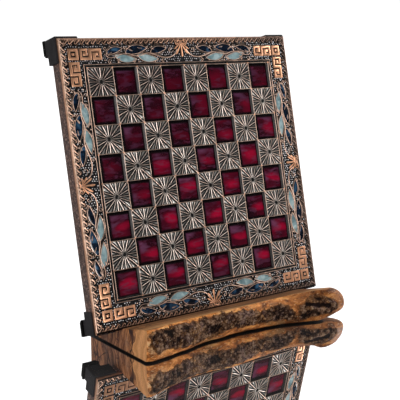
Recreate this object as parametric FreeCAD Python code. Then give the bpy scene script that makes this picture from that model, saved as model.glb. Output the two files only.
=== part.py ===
import FreeCAD, Part
import math, os
from FreeCAD import Vector as V

os.makedirs("parts", exist_ok=True)

# ---------------------------------------------------------------- driving dimensions, mm
LEAN = 13.28            # the board leans back by this many degrees from the vertical
SQUARE = 27.9           # pitch of the playing squares
PLATE_W = 277.2         # metal plate, across the board
PLATE_H = 280.4         # metal plate, up the board
FIELD_V = 140.35        # centre of the playing field above the plate's lower edge
PLATE_T = 3.0           # full thickness of the embossed plate
SKIRT_T = 1.0           # wall of the plate's turned-down edge
SKIRT_D = 4.2           # lower rim of the turned-down edge below the relief tops
GROUND_D = 1.0          # sunken ground below the relief tops
POCKET_D = 2.4          # floor of the square enamel pockets below the relief tops
RED_SIZE = 24.9         # side of a red enamel square
RED_TOP_D = 1.6         # top of the red enamel below the relief tops
LEAF_FLOOR_D = 1.6      # floor of the leaf pockets
LEAF_TOP_D = 0.55       # top of the leaf enamel
RIM_W = 6.8             # raised wave band round the plate's edge
FRAME_IN, FRAME_OUT = 0.9, 2.9   # raised frame line outside the playing field
TILE = 26.3             # side of a raised sunburst square
CORE_T = 13.0           # wood panel
BACK_T = 1.2            # backing sheet
BAND_T = 0.8            # leatherette on the four sides
BOARD_T = PLATE_T + CORE_T + BACK_T

CAP_WALL = 1.4          # wall of a corner foot outside the board
CAP_ARM = 21.8          # length of a corner foot's arms from the plate's corner
CAP_FRONT_D = 4.0       # front rim of a corner foot behind the relief tops
FLANGE_T = 1.4          # part of a corner foot behind the board
BOSS_IN = 13.7          # inner side of the square boss
BOSS_D = BOARD_T + FLANGE_T + 3.3
NECK_D = BOSS_D + 1.9
PAD_D = NECK_D + 5.8
SCREW_AT = 6.2          # screw axis from both plate edges
SEAT_D = BOARD_T + 2.0  # seat of the screw head

SEAT_Z = 20.6           # height of the board's lower front edge over the floor
LIP = 1.0               # front lip of the stand's groove
GROOVE_FRONT = 0.30     # free gap before the board
GROOVE_BACK = 0.12      # free gap behind the board
GROOVE_UNDER = 0.03
STAND_LEFT = -114.2     # sawn left end of the stand
STAND_BACK = 59.0       # sawn back face, behind the board's lower front edge
STAND_TOP = 45.0        # top of the stand behind the board
BARK_T = 3.0

Y_SHIFT = -22.824       # puts the middle of the whole depth on the frame's origin

SIN, COS = math.sin(math.radians(LEAN)), math.cos(math.radians(LEAN))


# ---------------------------------------------------------------- helpers
def place(shape):
    """From board coordinates (u across, v up the board, n out of its face) to the frame."""
    s = shape.copy()
    s.rotate(V(0, 0, 0), V(1, 0, 0), 90 - LEAN)
    s.translate(V(0, Y_SHIFT, SEAT_Z))
    return s


def bx(u0, u1, v0, v1, d0, d1):
    """Box in board coordinates; d is the depth behind the relief tops."""
    return Part.makeBox(u1 - u0, v1 - v0, d1 - d0, V(u0, v0, -d1))


def poly(points):
    pts = [V(*p) for p in points]
    return Part.Wire([Part.LineSegment(a, b).toShape() for a, b in zip(pts, pts[1:] + pts[:1])])


def prism(points, direction):
    return Part.Face(poly(points)).extrude(V(*direction))


def lens(s, t, length, width, angle, d0, d1):
    """Leaf-shaped prism between depths d0 and d1."""
    a = math.radians(angle)
    ca, sa = math.cos(a), math.sin(a)

    def at(x, y):
        return V(s + x * ca - y * sa, t + x * sa + y * ca, -d1)
    p, q = at(-length / 2, 0), at(length / 2, 0)
    w = Part.Wire([Part.Arc(p, at(0, width / 2), q).toShape(), Part.Arc(q, at(0, -width / 2), p).toShape()])
    return Part.Face(w).extrude(V(0, 0, d1 - d0))


def export(shape, node):
    shape.exportStep("parts/%s.step" % node)
    b = shape.BoundBox
    print("%-28s solids %3d valid %s vol %10.1f  x %.1f %.1f y %.1f %.1f z %.1f %.1f" % (
        node, len(shape.Solids), shape.isValid(), shape.Volume, b.XMin, b.XMax, b.YMin, b.YMax, b.ZMin, b.ZMax))


# ---------------------------------------------------------------- leaf garland layout
# s runs from the middle of a side towards its corner, t from the playing field outwards.
# Every half side carries the same leaves: (s, t, length, width, angle, colour)
LEAVES = [
    (78.0, 15.0, 22.0, 6.2, -14.0, "blue"),
    (67.5, 8.3, 21.0, 5.8, 13.0, "teal"),
    (54.5, 15.2, 23.0, 6.6, -13.0, "blue"),
    (43.5, 8.2, 21.5, 6.0, 12.0, "teal"),
    (29.5, 14.2, 21.0, 6.0, -10.0, "blue"),
]
HALF_FIELD = 4 * SQUARE
SIDES = {  # unit vectors of s and t in board coordinates, for the right half
    "top": ((1, 0), (0, 1)), "bottom": ((1, 0), (0, -1)), "right": ((0, 1), (1, 0)), "left": ((0, 1), (-1, 0))}


def leaf_prisms(colour, d0, d1, grow=0.0):
    out = []
    for (sx, sy), (tx, ty) in SIDES.values():
        for half in (1, -1):
            for s, t, length, width, angle, col in LEAVES:
                if col != colour:
                    continue
                cu = half * s * sx + (HALF_FIELD + t) * tx
                cv = half * s * sy + (HALF_FIELD + t) * ty + FIELD_V
                # direction of the leaf's long axis
                a = math.radians(angle)
                du = half * math.cos(a) * sx + math.sin(a) * tx
                dv = half * math.cos(a) * sy + math.sin(a) * ty
                out.append(lens(cu, cv, length + grow, width + grow, math.degrees(math.atan2(dv, du)), d0, d1))
    return out


# ---------------------------------------------------------------- embossed metal plate
def square_centre(i, j):
    return (i - 3.5) * SQUARE, FIELD_V + (3.5 - j) * SQUARE


W2 = PLATE_W / 2
plate = bx(-W2, W2, 0, PLATE_H, GROUND_D, PLATE_T)
skirt = bx(-W2, W2, 0, PLATE_H, PLATE_T - 0.2, SKIRT_D).cut(
    bx(-W2 + SKIRT_T, W2 - SKIRT_T, SKIRT_T, PLATE_H - SKIRT_T, 0, SKIRT_D + 1))
rim = bx(-W2, W2, 0, PLATE_H, 0.0, GROUND_D + 0.2).cut(
    bx(-W2 + RIM_W, W2 - RIM_W, RIM_W, PLATE_H - RIM_W, -1, GROUND_D + 1))
f_out, f_in = HALF_FIELD + FRAME_OUT, HALF_FIELD + FRAME_IN
frame_line = bx(-f_out, f_out, FIELD_V - f_out, FIELD_V + f_out, 0.15, GROUND_D + 0.2).cut(
    bx(-f_in, f_in, FIELD_V - f_in, FIELD_V + f_in, -1, GROUND_D + 1))
tiles, pockets, reds = [], [], []
for i in range(8):
    for j in range(8):
        cu, cv = square_centre(i, j)
        if (i + j) % 2 == 0:
            h = TILE / 2
            tiles.append(bx(cu - h, cu + h, cv - h, cv + h, 0.1, GROUND_D + 0.2))
        else:
            h = RED_SIZE / 2
            pockets.append(bx(cu - h, cu + h, cv - h, cv + h, -1, POCKET_D))
            reds.append(bx(cu - h, cu + h, cv - h, cv + h, RED_TOP_D, POCKET_D))
# key blocks in the corners: a ring square and an arm along each side
keys = []
for su in (-1, 1):
    for top in (False, True):
        for along in ("u", "v"):
            a0, a1, b0, b1 = 10.2, 47.4, 10.2, 20.8
            if along == "v":
                a0, a1, b0, b1 = b0, b1, 21.4, 47.4
            us = sorted((su * (W2 - a0), su * (W2 - a1)))
            vs = sorted((PLATE_H - b0, PLATE_H - b1)) if top else sorted((b0, b1))
            keys.append(bx(us[0], us[1], vs[0], vs[1], 0.0, GROUND_D + 0.2))
plate = plate.multiFuse([skirt, rim, frame_line] + tiles + keys)
blue_pockets = leaf_prisms("blue", -1, LEAF_FLOOR_D)
teal_pockets = leaf_prisms("teal", -1, LEAF_FLOOR_D)
plate = plate.cut(Part.makeCompound(pockets + blue_pockets + teal_pockets))
plate = plate.Solids[0] if len(plate.Solids) == 1 else plate
export(place(plate), "relief_plate")
export(place(Part.makeCompound(reds)), "red_enamel_squares")
export(place(Part.makeCompound(leaf_prisms("blue", LEAF_TOP_D, LEAF_FLOOR_D))), "blue_enamel_leaves")
export(place(Part.makeCompound(leaf_prisms("teal", LEAF_TOP_D, LEAF_FLOOR_D))), "teal_enamel_leaves")

# ---------------------------------------------------------------- wood panel, side bands, backing
B2 = W2 - BAND_T
corners = [("top_left", -1, True), ("top_right", 1, True), ("bottom_left", -1, False), ("bottom_right", 1, False)]


def corner_xy(su, top, a, b):
    """Point at a, b inside the plate's corner."""
    return su * (W2 - a), (PLATE_H - b if top else b)


core = bx(-B2, B2, BAND_T, PLATE_H - BAND_T, SKIRT_D, PLATE_T + CORE_T).fuse(
    bx(-W2 + SKIRT_T, W2 - SKIRT_T, SKIRT_T, PLATE_H - SKIRT_T, PLATE_T, SKIRT_D + 1)).removeSplitter()
backing = bx(-B2, B2, BAND_T, PLATE_H - BAND_T, PLATE_T + CORE_T, BOARD_T)
for name, su, top in corners:
    x, y = corner_xy(su, top, SCREW_AT, SCREW_AT)
    core = core.cut(Part.makeCylinder(1.55, SEAT_D - 6.0, V(x, y, -SEAT_D), V(0, 0, 1)))
    backing = backing.cut(Part.makeCylinder(1.7, 6.0, V(x, y, -SEAT_D), V(0, 0, 1)))
export(place(core), "board_core")
export(place(backing), "backing_sheet")
export(place(bx(-W2, -B2, 0, PLATE_H, SKIRT_D, BOARD_T)), "edge_band_left")
export(place(bx(B2, W2, 0, PLATE_H, SKIRT_D, BOARD_T)), "edge_band_right")
export(place(bx(-B2, B2, PLATE_H - BAND_T, PLATE_H, SKIRT_D, BOARD_T)), "edge_band_top")
export(place(bx(-B2, B2, 0, BAND_T, SKIRT_D, BOARD_T)), "edge_band_bottom")


# ---------------------------------------------------------------- corner feet, pads, screws
def corner_solid(kind):
    """Built at the corner a = b = 0, inwards is +a, +b; depth d is -z."""
    if kind == "foot":
        outer = bx(-CAP_WALL, CAP_ARM, -CAP_WALL, CAP_ARM, CAP_FRONT_D, BOARD_T + FLANGE_T)
        outer = outer.cut(prism([(CAP_ARM + 1, BOSS_IN - 1, 1), (CAP_ARM + 1, CAP_ARM + 1, 1), (BOSS_IN - 1, CAP_ARM + 1, 1)],
                                (0, 0, -40)))
        outer = outer.cut(bx(0, 40, 0, 40, -1, BOARD_T))
        # rounded outer corner
        edge = [e for e in outer.Edges if abs(e.BoundBox.XMin + CAP_WALL) < 1e-6 and abs(e.BoundBox.XMax + CAP_WALL) < 1e-6
                and abs(e.BoundBox.YMin + CAP_WALL) < 1e-6 and abs(e.BoundBox.YMax + CAP_WALL) < 1e-6]
        outer = outer.makeFillet(1.3, edge)
        boss = bx(-CAP_WALL, BOSS_IN, -CAP_WALL, BOSS_IN, BOARD_T + 0.2, BOSS_D)
        neck = bx(-0.7, BOSS_IN - 0.6, -0.7, BOSS_IN - 0.6, BOSS_D - 0.2, NECK_D)
        vert = [e for e in boss.Edges if abs(e.BoundBox.ZLength - (BOSS_D - BOARD_T - 0.2)) < 1e-6]
        boss = boss.makeFillet(1.3, vert)
        foot = outer.multiFuse([boss, neck]).removeSplitter()
        foot = foot.cut(Part.makeCylinder(4.3, 10, V(SCREW_AT, SCREW_AT, -SEAT_D - 10), V(0, 0, 1)))
        foot = foot.cut(Part.makeCylinder(1.7, 10, V(SCREW_AT, SCREW_AT, -SEAT_D - 1), V(0, 0, 1)))
        return foot
    if kind == "pad":
        prof = [(-2.5, NECK_D), (BOSS_IN + 0.2, NECK_D), (BOSS_IN + 0.2, NECK_D + 0.9), (10.4, NECK_D + 4.8),
                (10.0, PAD_D), (-1.0, PAD_D), (-2.5, PAD_D - 1.8)]
        one = prism([(a, -6, -d) for a, d in prof], (0, 26, 0))
        two = prism([(-6, b, -d) for b, d in prof], (26, 0, 0))
        pad = one.common(two)
        plug = Part.makeCylinder(4.2, NECK_D + 0.5 - (SEAT_D + 2.1), V(SCREW_AT, SCREW_AT, -NECK_D - 0.5), V(0, 0, 1))
        return pad.fuse(plug)
    head = Part.makeCylinder(3.0, 1.8, V(SCREW_AT, SCREW_AT, -SEAT_D - 1.8), V(0, 0, 1))
    shank = Part.makeCylinder(1.5, 10.6, V(SCREW_AT, SCREW_AT, -SEAT_D - 0.1), V(0, 0, 1))
    slot = Part.makeBox(4.4, 0.8, 0.9, V(SCREW_AT - 2.2, SCREW_AT - 0.4, -SEAT_D - 1.9))
    slot2 = Part.makeBox(0.8, 4.4, 0.9, V(SCREW_AT - 0.4, SCREW_AT - 2.2, -SEAT_D - 1.9))
    return head.fuse(shank).cut(slot).cut(slot2)


def to_corner(shape, su, top):
    s = shape.copy()
    # mirrored so that +a, +b run inwards from the chosen corner
    if su > 0:
        s = s.mirror(V(0, 0, 0), V(1, 0, 0))
    if top:
        s = s.mirror(V(0, 0, 0), V(0, 1, 0))
    s.translate(V(su * W2, PLATE_H if top else 0, 0))
    return s


foot, pad, screw = corner_solid("foot"), corner_solid("pad"), corner_solid("screw")
screws = []
for name, su, top in corners:
    export(place(to_corner(foot, su, top)), "corner_foot_" + name)
    export(place(to_corner(pad, su, top)), "foot_pad_" + name)
    screws.append(to_corner(screw, su, top))
export(place(Part.makeCompound(screws)), "foot_screws")

# ---------------------------------------------------------------- live-edge wooden stand
# Front contour at stations along x: distance before the board's lower front edge
# at the floor, at mid height, at two thirds, and at the cut top edge.
FRONT = [
    (-114.2, 40.0, 41.5, 42.0, 41.5), (-110.6, 41.8, 43.5, 43.8, 42.6), (-103.1, 44.3, 45.6, 45.0, 41.6),
    (-96.1, 44.9, 46.0, 45.0, 40.0), (-86.3, 44.0, 45.0, 43.5, 37.0), (-72.1, 39.8, 42.4, 41.2, 34.0),
    (-59.3, 38.0, 40.2, 38.6, 31.4), (-43.6, 32.4, 36.6, 36.2, 29.8), (-29.4, 29.4, 34.6, 35.0, 30.0),
    (-16.9, 29.1, 34.0, 35.2, 31.0), (-3.1, 27.3, 33.0, 35.0, 31.8), (10.1, 26.7, 32.0, 34.4, 31.4),
    (22.8, 27.1, 32.0, 33.6, 30.0), (34.9, 28.3, 32.5, 33.2, 28.6), (48.2, 28.4, 33.0, 33.5, 27.6),
    (60.7, 29.7, 34.5, 34.2, 26.4), (72.0, 32.5, 36.6, 35.4, 25.8), (82.7, 36.3, 39.6, 37.6, 26.8),
    (93.4, 40.0, 42.6, 40.6, 28.8), (103.1, 43.2, 45.4, 43.4, 31.6)]
LEVELS = [0.0, 2.5, 6.0, 12.0, 20.0, 27.0, 33.0, 46.0]
# Round right end and the slanting side behind it, one list of (x, y) for every level.
NOSE = {
    0.0: [(109, -43.6), (113, -41.5), (115, -37), (115.4, -30), (112.5, -16), (107, 0), (100, 15), (92, 36)],
    2.5: [(112, -45.2), (119, -44.6), (124.5, -40.5), (126, -33), (121, -20), (110, 0), (102, 15), (94, 36)],
    6.0: [(113, -46.8), (124, -46.0), (132, -42.0), (135.4, -34), (129, -20), (111.5, 0), (103.5, 15), (95, 36)],
    12.0: [(114, -47.8), (126, -47.2), (136.4, -42.6), (140.4, -34.5), (133, -20), (112.5, 0), (104.5, 15), (96, 36)],
    20.0: [(114, -46.8), (125, -46.0), (133.8, -42.0), (137.0, -34.5), (129, -20), (111.5, 0), (104, 15), (95, 36)],
    27.0: [(111, -41.0), (119, -43.0), (125.5, -40.6), (127.6, -34.5), (121, -22), (110, 0), (102.5, 15), (94, 36)],
    33.0: [(107, -36.0), (113, -38.5), (118.0, -38.0), (119.4, -33.0), (115, -20), (108, 0), (101, 15), (92, 36)],
    46.0: [(104, -30.0), (109, -33.0), (113.0, -33.0), (114.4, -29.0), (110, -17), (105, 0), (99, 15), (90, 36)]}
BACK_RIGHT = {0.0: 84, 2.5: 85.5, 6.0: 86.5, 12.0: 87.5, 20.0: 87, 27.0: 86, 33.0: 84.5, 46.0: 82}


def front_y(row, z):
    x, b, m, u, t = row
    zt = SEAT_Z + LIP * COS + SIN / COS * t
    ks = [(0, b), (3, b + 0.6 * (m - b)), (8, b + 0.92 * (m - b)), (13, m), (21, u), (zt, t), (zt + 8, t - 7), (60, t - 12)]
    for (z0, y0), (z1, y1) in zip(ks, ks[1:]):
        if z <= z1:
            return -(y0 + (y1 - y0) * (z - z0) / (z1 - z0))
    return -ks[-1][1]


def outline(z, inset):
    pts = []
    for row in FRONT:
        x, y = row[0], front_y(row, z) + inset
        if row is FRONT[0]:
            x = STAND_LEFT
        pts.append((x, y))
    for x, y in NOSE[z]:
        if inset:
            cx, cy = 100.0, -22.0
            r = math.hypot(x - cx, y - cy)
            if y < -10:
                x, y = x - (x - cx) / r * inset, y - (y - cy) / r * inset
        pts.append((x, y))
    pts.append((BACK_RIGHT[z], STAND_BACK))
    pts.append((STAND_LEFT, STAND_BACK))
    return [(x, y + Y_SHIFT, z) for x, y in pts]


def body(inset):
    return Part.makeLoft([poly(outline(z, inset)) for z in LEVELS], True, True)


def in_frame(v, n):
    return v * SIN - n * COS + Y_SHIFT, SEAT_Z + v * COS + n * SIN


prof = [(LIP, 80), (LIP, GROOVE_FRONT), (-GROOVE_UNDER, GROOVE_FRONT), (-GROOVE_UNDER, -BOARD_T - GROOVE_BACK),
        (60, -BOARD_T - GROOVE_BACK), (60, 80)]
notch = prism([(-160,) + in_frame(v, n) for v, n in prof], (320, 0, 0))
flat_top = Part.makeBox(400, 300, 40, V(-200, -150, STAND_TOP))
whole = body(0.0).cut(notch).cut(flat_top)
inner = body(BARK_T)

BARK_LEFT = [(-108.8, 17.4), (-106.5, 14.2), (-103.7, 11.9), (-100.6, 7.9), (-97.5, 6.8), (-94.1, 10.0), (-89.3, 10.3),
             (-81.8, 8.7), (-73.9, 6.0), (-66.1, 4.4), (-49.9, 4.6), (-30.9, 5.8), (-23.2, 5.6), (-15.7, 9.1), (-0.0, 9.3),
             (17.4, 6.9), (28.9, 7.9), (50.7, 5.9), (76.9, 3.8), (76.9, 6.0), (75.6, 11.6), (72.1, 16.4), (67.2, 20.3),
             (60.0, 22.4), (52.6, 22.9), (46.5, 22.3), (33.7, 19.9), (26.0, 22.6), (18.3, 24.0), (9.2, 25.2), (-0.2, 26.2),
             (-16.0, 26.4), (-27.3, 26.2), (-33.9, 25.8), (-43.2, 25.0), (-55.7, 25.6), (-68.8, 26.2), (-79.2, 27.6),
             (-92.9, 28.0), (-106.4, 28.4), (-108.8, 27.0)]
BARK_RIGHT = [(79.4, 12.3), (80.9, 17.6), (85.3, 20.4), (90.8, 22.6), (97.3, 24.6), (104.0, 25.4), (111.2, 24.8), (118.0, 22.4),
              (122.8, 18.9), (126.1, 13.8), (124.8, 9.6), (118.9, 6.6), (112.0, 5.9), (102.5, 6.0), (93.7, 5.2), (84.7, 4.0),
              (80.3, 4.0), (79.0, 7.9)]


def bark(points):
    region = prism([(x, -90, z) for x, z in points], (0, 90 + Y_SHIFT - 8, 0))
    piece = whole.common(region).cut(inner)
    return max(piece.Solids, key=lambda s: s.Volume)


bark_left, bark_right = bark(BARK_LEFT), bark(BARK_RIGHT)
block = whole.cut(bark_left).cut(bark_right)
block = max(block.Solids, key=lambda s: s.Volume)
export(block, "stand_block")
export(bark_left, "stand_bark_left")
export(bark_right, "stand_bark_right")

total = Part.makeCompound([place(plate), place(to_corner(foot, 1, True)), place(to_corner(pad, 1, True)),
                           place(to_corner(pad, -1, False)), whole])
b = total.BoundBox
print("box x %.2f %.2f  y %.2f %.2f  z %.2f %.2f  centre y %.3f x %.3f" % (
    b.XMin, b.XMax, b.YMin, b.YMax, b.ZMin, b.ZMax, (b.YMin + b.YMax) / 2, (b.XMin + b.XMax) / 2))
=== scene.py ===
import math

import bpy
import numpy as np
from mathutils import Matrix, Vector


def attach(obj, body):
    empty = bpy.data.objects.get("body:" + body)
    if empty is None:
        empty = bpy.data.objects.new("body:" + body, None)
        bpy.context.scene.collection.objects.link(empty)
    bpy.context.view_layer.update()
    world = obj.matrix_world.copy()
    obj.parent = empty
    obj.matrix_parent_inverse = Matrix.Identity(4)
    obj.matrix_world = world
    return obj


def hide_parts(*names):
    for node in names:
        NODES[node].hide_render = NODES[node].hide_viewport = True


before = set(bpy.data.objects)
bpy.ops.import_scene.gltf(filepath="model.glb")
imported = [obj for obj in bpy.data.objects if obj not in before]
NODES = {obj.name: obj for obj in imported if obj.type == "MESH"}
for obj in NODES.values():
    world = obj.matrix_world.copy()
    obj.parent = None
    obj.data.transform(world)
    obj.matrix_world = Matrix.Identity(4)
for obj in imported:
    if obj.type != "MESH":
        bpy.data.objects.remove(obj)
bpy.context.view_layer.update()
rng = np.random.default_rng(7)

# ------------------------------------------------------------------ sizes, mm (as in the construction)
LEAN = math.radians(13.28)
SIN, COS = math.sin(LEAN), math.cos(LEAN)
SQ = 27.9
HALF = 4 * SQ                       # half the playing field
W2 = 138.6                          # half the plate's width
PLATE_H = 280.4
FIELD_V = 140.35
BACK_N = -17.2                      # back face of the board
SKIRT_N = -4.2
SEAT_Z = 20.6
Y0 = -22.824
GROUND = -0.95                      # sunken ground of the relief

# board coordinates: u across, v up the board, n out of its face
BOARD = Matrix(((1, 0, 0, 0), (0, SIN, -COS, Y0 / 1000), (0, COS, SIN, SEAT_Z / 1000), (0, 0, 0, 1)))


# ------------------------------------------------------------------ mesh helpers
class Build:
    """Collects vertices and faces in millimetres and makes one mesh piece of them."""

    def __init__(self):
        self.v, self.f, self.n = [], [], 0

    def add(self, verts, faces):
        verts = np.asarray(verts, float).reshape(-1, 3)
        for f in faces if isinstance(faces, list) else [faces]:
            f = np.asarray(f, np.int64)
            if f.ndim == 1:
                f = f[None]
            if len(f):
                self.f.append(f + self.n)
        self.v.append(verts)
        self.n += len(verts)

    def make(self, name, mat, body="board", slot=None, matrix=BOARD, smooth=True, sharp=None, replaces=()):
        co = np.concatenate(self.v) / 1000
        idx = np.concatenate([f.ravel() for f in self.f])
        tot = np.concatenate([np.full(len(f), f.shape[1]) for f in self.f])
        me = bpy.data.meshes.new(name)
        me.vertices.add(len(co))
        me.vertices.foreach_set("co", co.astype(np.float32).ravel())
        me.loops.add(len(idx))
        me.loops.foreach_set("vertex_index", idx.astype(np.int32))
        me.polygons.add(len(tot))
        start = np.concatenate([[0], np.cumsum(tot)[:-1]])
        me.polygons.foreach_set("loop_start", start.astype(np.int32))
        me.polygons.foreach_set("loop_total", tot.astype(np.int32))
        me.polygons.foreach_set("use_smooth", np.full(len(tot), smooth))
        me.update(calc_edges=True)
        me.validate()
        if sharp is not None:
            me.set_sharp_from_angle(angle=math.radians(sharp))
        for m in mat if isinstance(mat, (list, tuple)) else [mat]:
            me.materials.append(m)
        o = bpy.data.objects.new(name, me)
        bpy.context.scene.collection.objects.link(o)
        if matrix is not None:
            o.matrix_world = matrix
        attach(o, body)
        if replaces:
            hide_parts(*replaces)
        return o


def grid_faces(a, b, wrap_a=False, wrap_b=False):
    """Quads of an a by b grid of vertices stored row by row."""
    i = np.arange(a if wrap_a else a - 1)
    j = np.arange(b if wrap_b else b - 1)
    i, j = np.meshgrid(i, j, indexing="ij")
    i2, j2 = (i + 1) % a, (j + 1) % b
    return np.stack([i * b + j, i * b + j2, i2 * b + j2, i2 * b + j], -1).reshape(-1, 4)


def flip(f):
    return f[:, ::-1]


def hash01(ix, iy, iz, seed):
    h = (ix * 374761393 + iy * 668265263 + iz * 2147483647 + seed * 1274126177) & 0xFFFFFFFF
    h = ((h ^ (h >> 13)) * 1274126177) & 0xFFFFFFFF
    h = ((h ^ (h >> 16)) * 2246822519) & 0xFFFFFFFF
    return ((h ^ (h >> 15)) & 0xFFFFFF) / float(0xFFFFFF)


def noise3(p, scale, seed=0):
    """Smooth value noise of the points p, from -1 to 1, with cells of the given size."""
    q = np.asarray(p, float) / scale + 1000.0
    i = np.floor(q).astype(np.int64)
    f = q - i
    f = f * f * f * (f * (f * 6 - 15) + 10)
    out = 0.0
    for dx in (0, 1):
        for dy in (0, 1):
            for dz in (0, 1):
                w = (f[..., 0] if dx else 1 - f[..., 0]) * (f[..., 1] if dy else 1 - f[..., 1]) * (f[..., 2] if dz else 1 - f[..., 2])
                out = out + w * hash01(i[..., 0] + dx, i[..., 1] + dy, i[..., 2] + dz, seed)
    return out * 2 - 1


def fbm(p, scale, octaves=3, seed=0, gain=0.5):
    out, a = 0.0, 1.0
    for k in range(octaves):
        out = out + a * noise3(p, scale / 2 ** k, seed + 17 * k)
        a *= gain
    return out


def cells(p, scale, seed=0, jitter=0.9):
    """Distance to the nearest and second nearest feature points of a cellular pattern, in cells."""
    q = np.asarray(p, float) / scale + 500.0
    i = np.floor(q).astype(np.int64)
    d1 = np.full(q.shape[:-1], 9.0)
    d2 = np.full(q.shape[:-1], 9.0)
    for dx in (-1, 0, 1):
        for dy in (-1, 0, 1):
            for dz in (-1, 0, 1):
                c = i + (dx, dy, dz)
                o = np.stack([hash01(c[..., 0], c[..., 1], c[..., 2], seed + s) for s in (1, 2, 3)], -1)
                d = np.linalg.norm(c + 0.5 + jitter * (o - 0.5) - q, axis=-1)
                d2 = np.minimum(d2, np.maximum(d1, d))
                d1 = np.minimum(d1, d)
    return d1, d2


def smooth_line(points, step=0.6, closed=False):
    """Centripetal-like smooth curve through the points, resampled evenly."""
    p = np.asarray(points, float)
    n = len(p)
    out = []
    segs = n if closed else n - 1
    for k in range(segs):
        if closed:
            a, b, c, d = p[k - 1], p[k], p[(k + 1) % n], p[(k + 2) % n]
        else:
            a, b, c, d = p[max(k - 1, 0)], p[k], p[k + 1], p[min(k + 2, n - 1)]
            if k == 0:
                a = 2 * b - c
            if k == n - 2:
                d = 2 * c - b
        m = max(2, int(np.linalg.norm(c - b) / 0.15))
        t = np.linspace(0, 1, m, endpoint=False)[:, None]
        out.append(0.5 * (2 * b + (c - a) * t + (2 * a - 5 * b + 4 * c - d) * t ** 2 + (3 * b - a - 3 * c + d) * t ** 3))
    q = np.concatenate(out + ([] if closed else [p[-1:]]))
    if closed:
        q = np.concatenate([q, q[:1]])
    s = np.concatenate([[0], np.cumsum(np.linalg.norm(np.diff(q, axis=0), axis=1))])
    m = max(3, int(round(s[-1] / step)) + 1)
    t = np.linspace(0, s[-1], m)
    r = np.stack([np.interp(t, s, q[:, k]) for k in range(q.shape[1])], 1)
    return r[:-1] if closed else r


def path_normals(p, closed=False):
    if closed:
        t = np.roll(p, -1, 0) - np.roll(p, 1, 0)
    else:
        t = np.gradient(p, axis=0)
    t = t / np.maximum(np.linalg.norm(t, axis=1), 1e-9)[:, None]
    return np.stack([-t[:, 1], t[:, 0]], 1)


PROFILE = [(-1.0, 0.0), (-0.86, 0.5), (-0.6, 0.85), (-0.22, 1.0), (0.22, 1.0), (0.6, 0.85), (0.86, 0.5), (1.0, 0.0)]
STAMPS = []          # (u, v, radius) of everything raised, so that the stippling leaves it free


def ridge(build, pts, width, top=-0.05, base=GROUND, closed=False, profile=PROFILE, stamp=True, pad=0.6):
    """Raised line with a rounded section along pts; width may vary along it. Open ends are closed and rounded."""
    p = np.asarray(pts, float)
    n = len(p)
    w = np.broadcast_to(np.asarray(width, float), (n,)) / 2
    t = np.broadcast_to(np.asarray(top, float), (n,))
    nr = path_normals(p, closed)
    pr = np.asarray(profile)
    v = np.zeros((n, len(pr), 3))
    v[..., :2] = p[:, None] + nr[:, None] * (w[:, None] * pr[:, 0])[..., None]
    v[..., 2] = base + (t - base)[:, None] * pr[:, 1]
    f = [flip(grid_faces(n, len(pr), wrap_a=closed))]
    if not closed:
        k = len(pr)
        f.append(np.arange(k)[None])
        f.append((np.arange(k)[::-1] + (n - 1) * k)[None])
    build.add(v, f)
    if stamp:
        q = np.concatenate([np.linspace(a, b, max(2, int(np.linalg.norm(b - a) / 0.5))) for a, b in zip(p[:-1], p[1:])] + [p])
        r = float(np.max(w)) + pad
        STAMPS.extend((x, y, r) for x, y in q)


def taper(n, w0, w1, w2, mid=0.5):
    """Width from w0 to w1 at mid to w2 at the end, smooth."""
    s = np.linspace(0, 1, n)
    return np.interp(s, [0, mid, 1], [w0, w1, w2])


def inset_loop(p, d):
    """Offsets a closed polygon, counterclockwise, inwards by d with mitred corners."""
    p = np.asarray(p, float)
    a = p - np.roll(p, 1, 0)
    b = np.roll(p, -1, 0) - p
    a /= np.linalg.norm(a, axis=1)[:, None]
    b /= np.linalg.norm(b, axis=1)[:, None]
    na, nb = np.stack([-a[:, 1], a[:, 0]], 1), np.stack([-b[:, 1], b[:, 0]], 1)
    m = na + nb
    m /= np.maximum((m * na).sum(1), 0.3)[:, None]
    return p + m * d


def plaque(build, loop, top=0.0, base=GROUND, bevel=0.28, draft=0.12):
    """Raised flat area with drafted sides and a rounded edge over a closed polygon."""
    n = len(loop)
    rings = [(inset_loop(loop, -draft), base), (np.asarray(loop, float), top - bevel), (inset_loop(loop, bevel * 0.3), top - bevel * 0.3),
             (inset_loop(loop, bevel), top)]
    v = np.concatenate([np.column_stack([r, np.full(n, z)]) for r, z in rings])
    build.add(v, [grid_faces(len(rings), n, wrap_b=True), (np.arange(n) + (len(rings) - 1) * n)[None]])


def side_map(k):
    """Maps (s, t) of side k to board coordinates: s runs counterclockwise along the side, t outwards from the field."""
    c, s = [(1, 0), (0, 1), (-1, 0), (0, -1)][k]

    def at(p):
        p = np.asarray(p, float)
        x, y = p[..., 0], -(HALF + p[..., 1])
        return np.stack([c * x - s * y, s * x + c * y + FIELD_V], -1)
    return at


def edge_dist(k):
    """Distance from the field's line to the plate's edge on side k."""
    return (FIELD_V - HALF) if k == 0 else (PLATE_H - FIELD_V - HALF) if k == 2 else W2 - HALF


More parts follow.
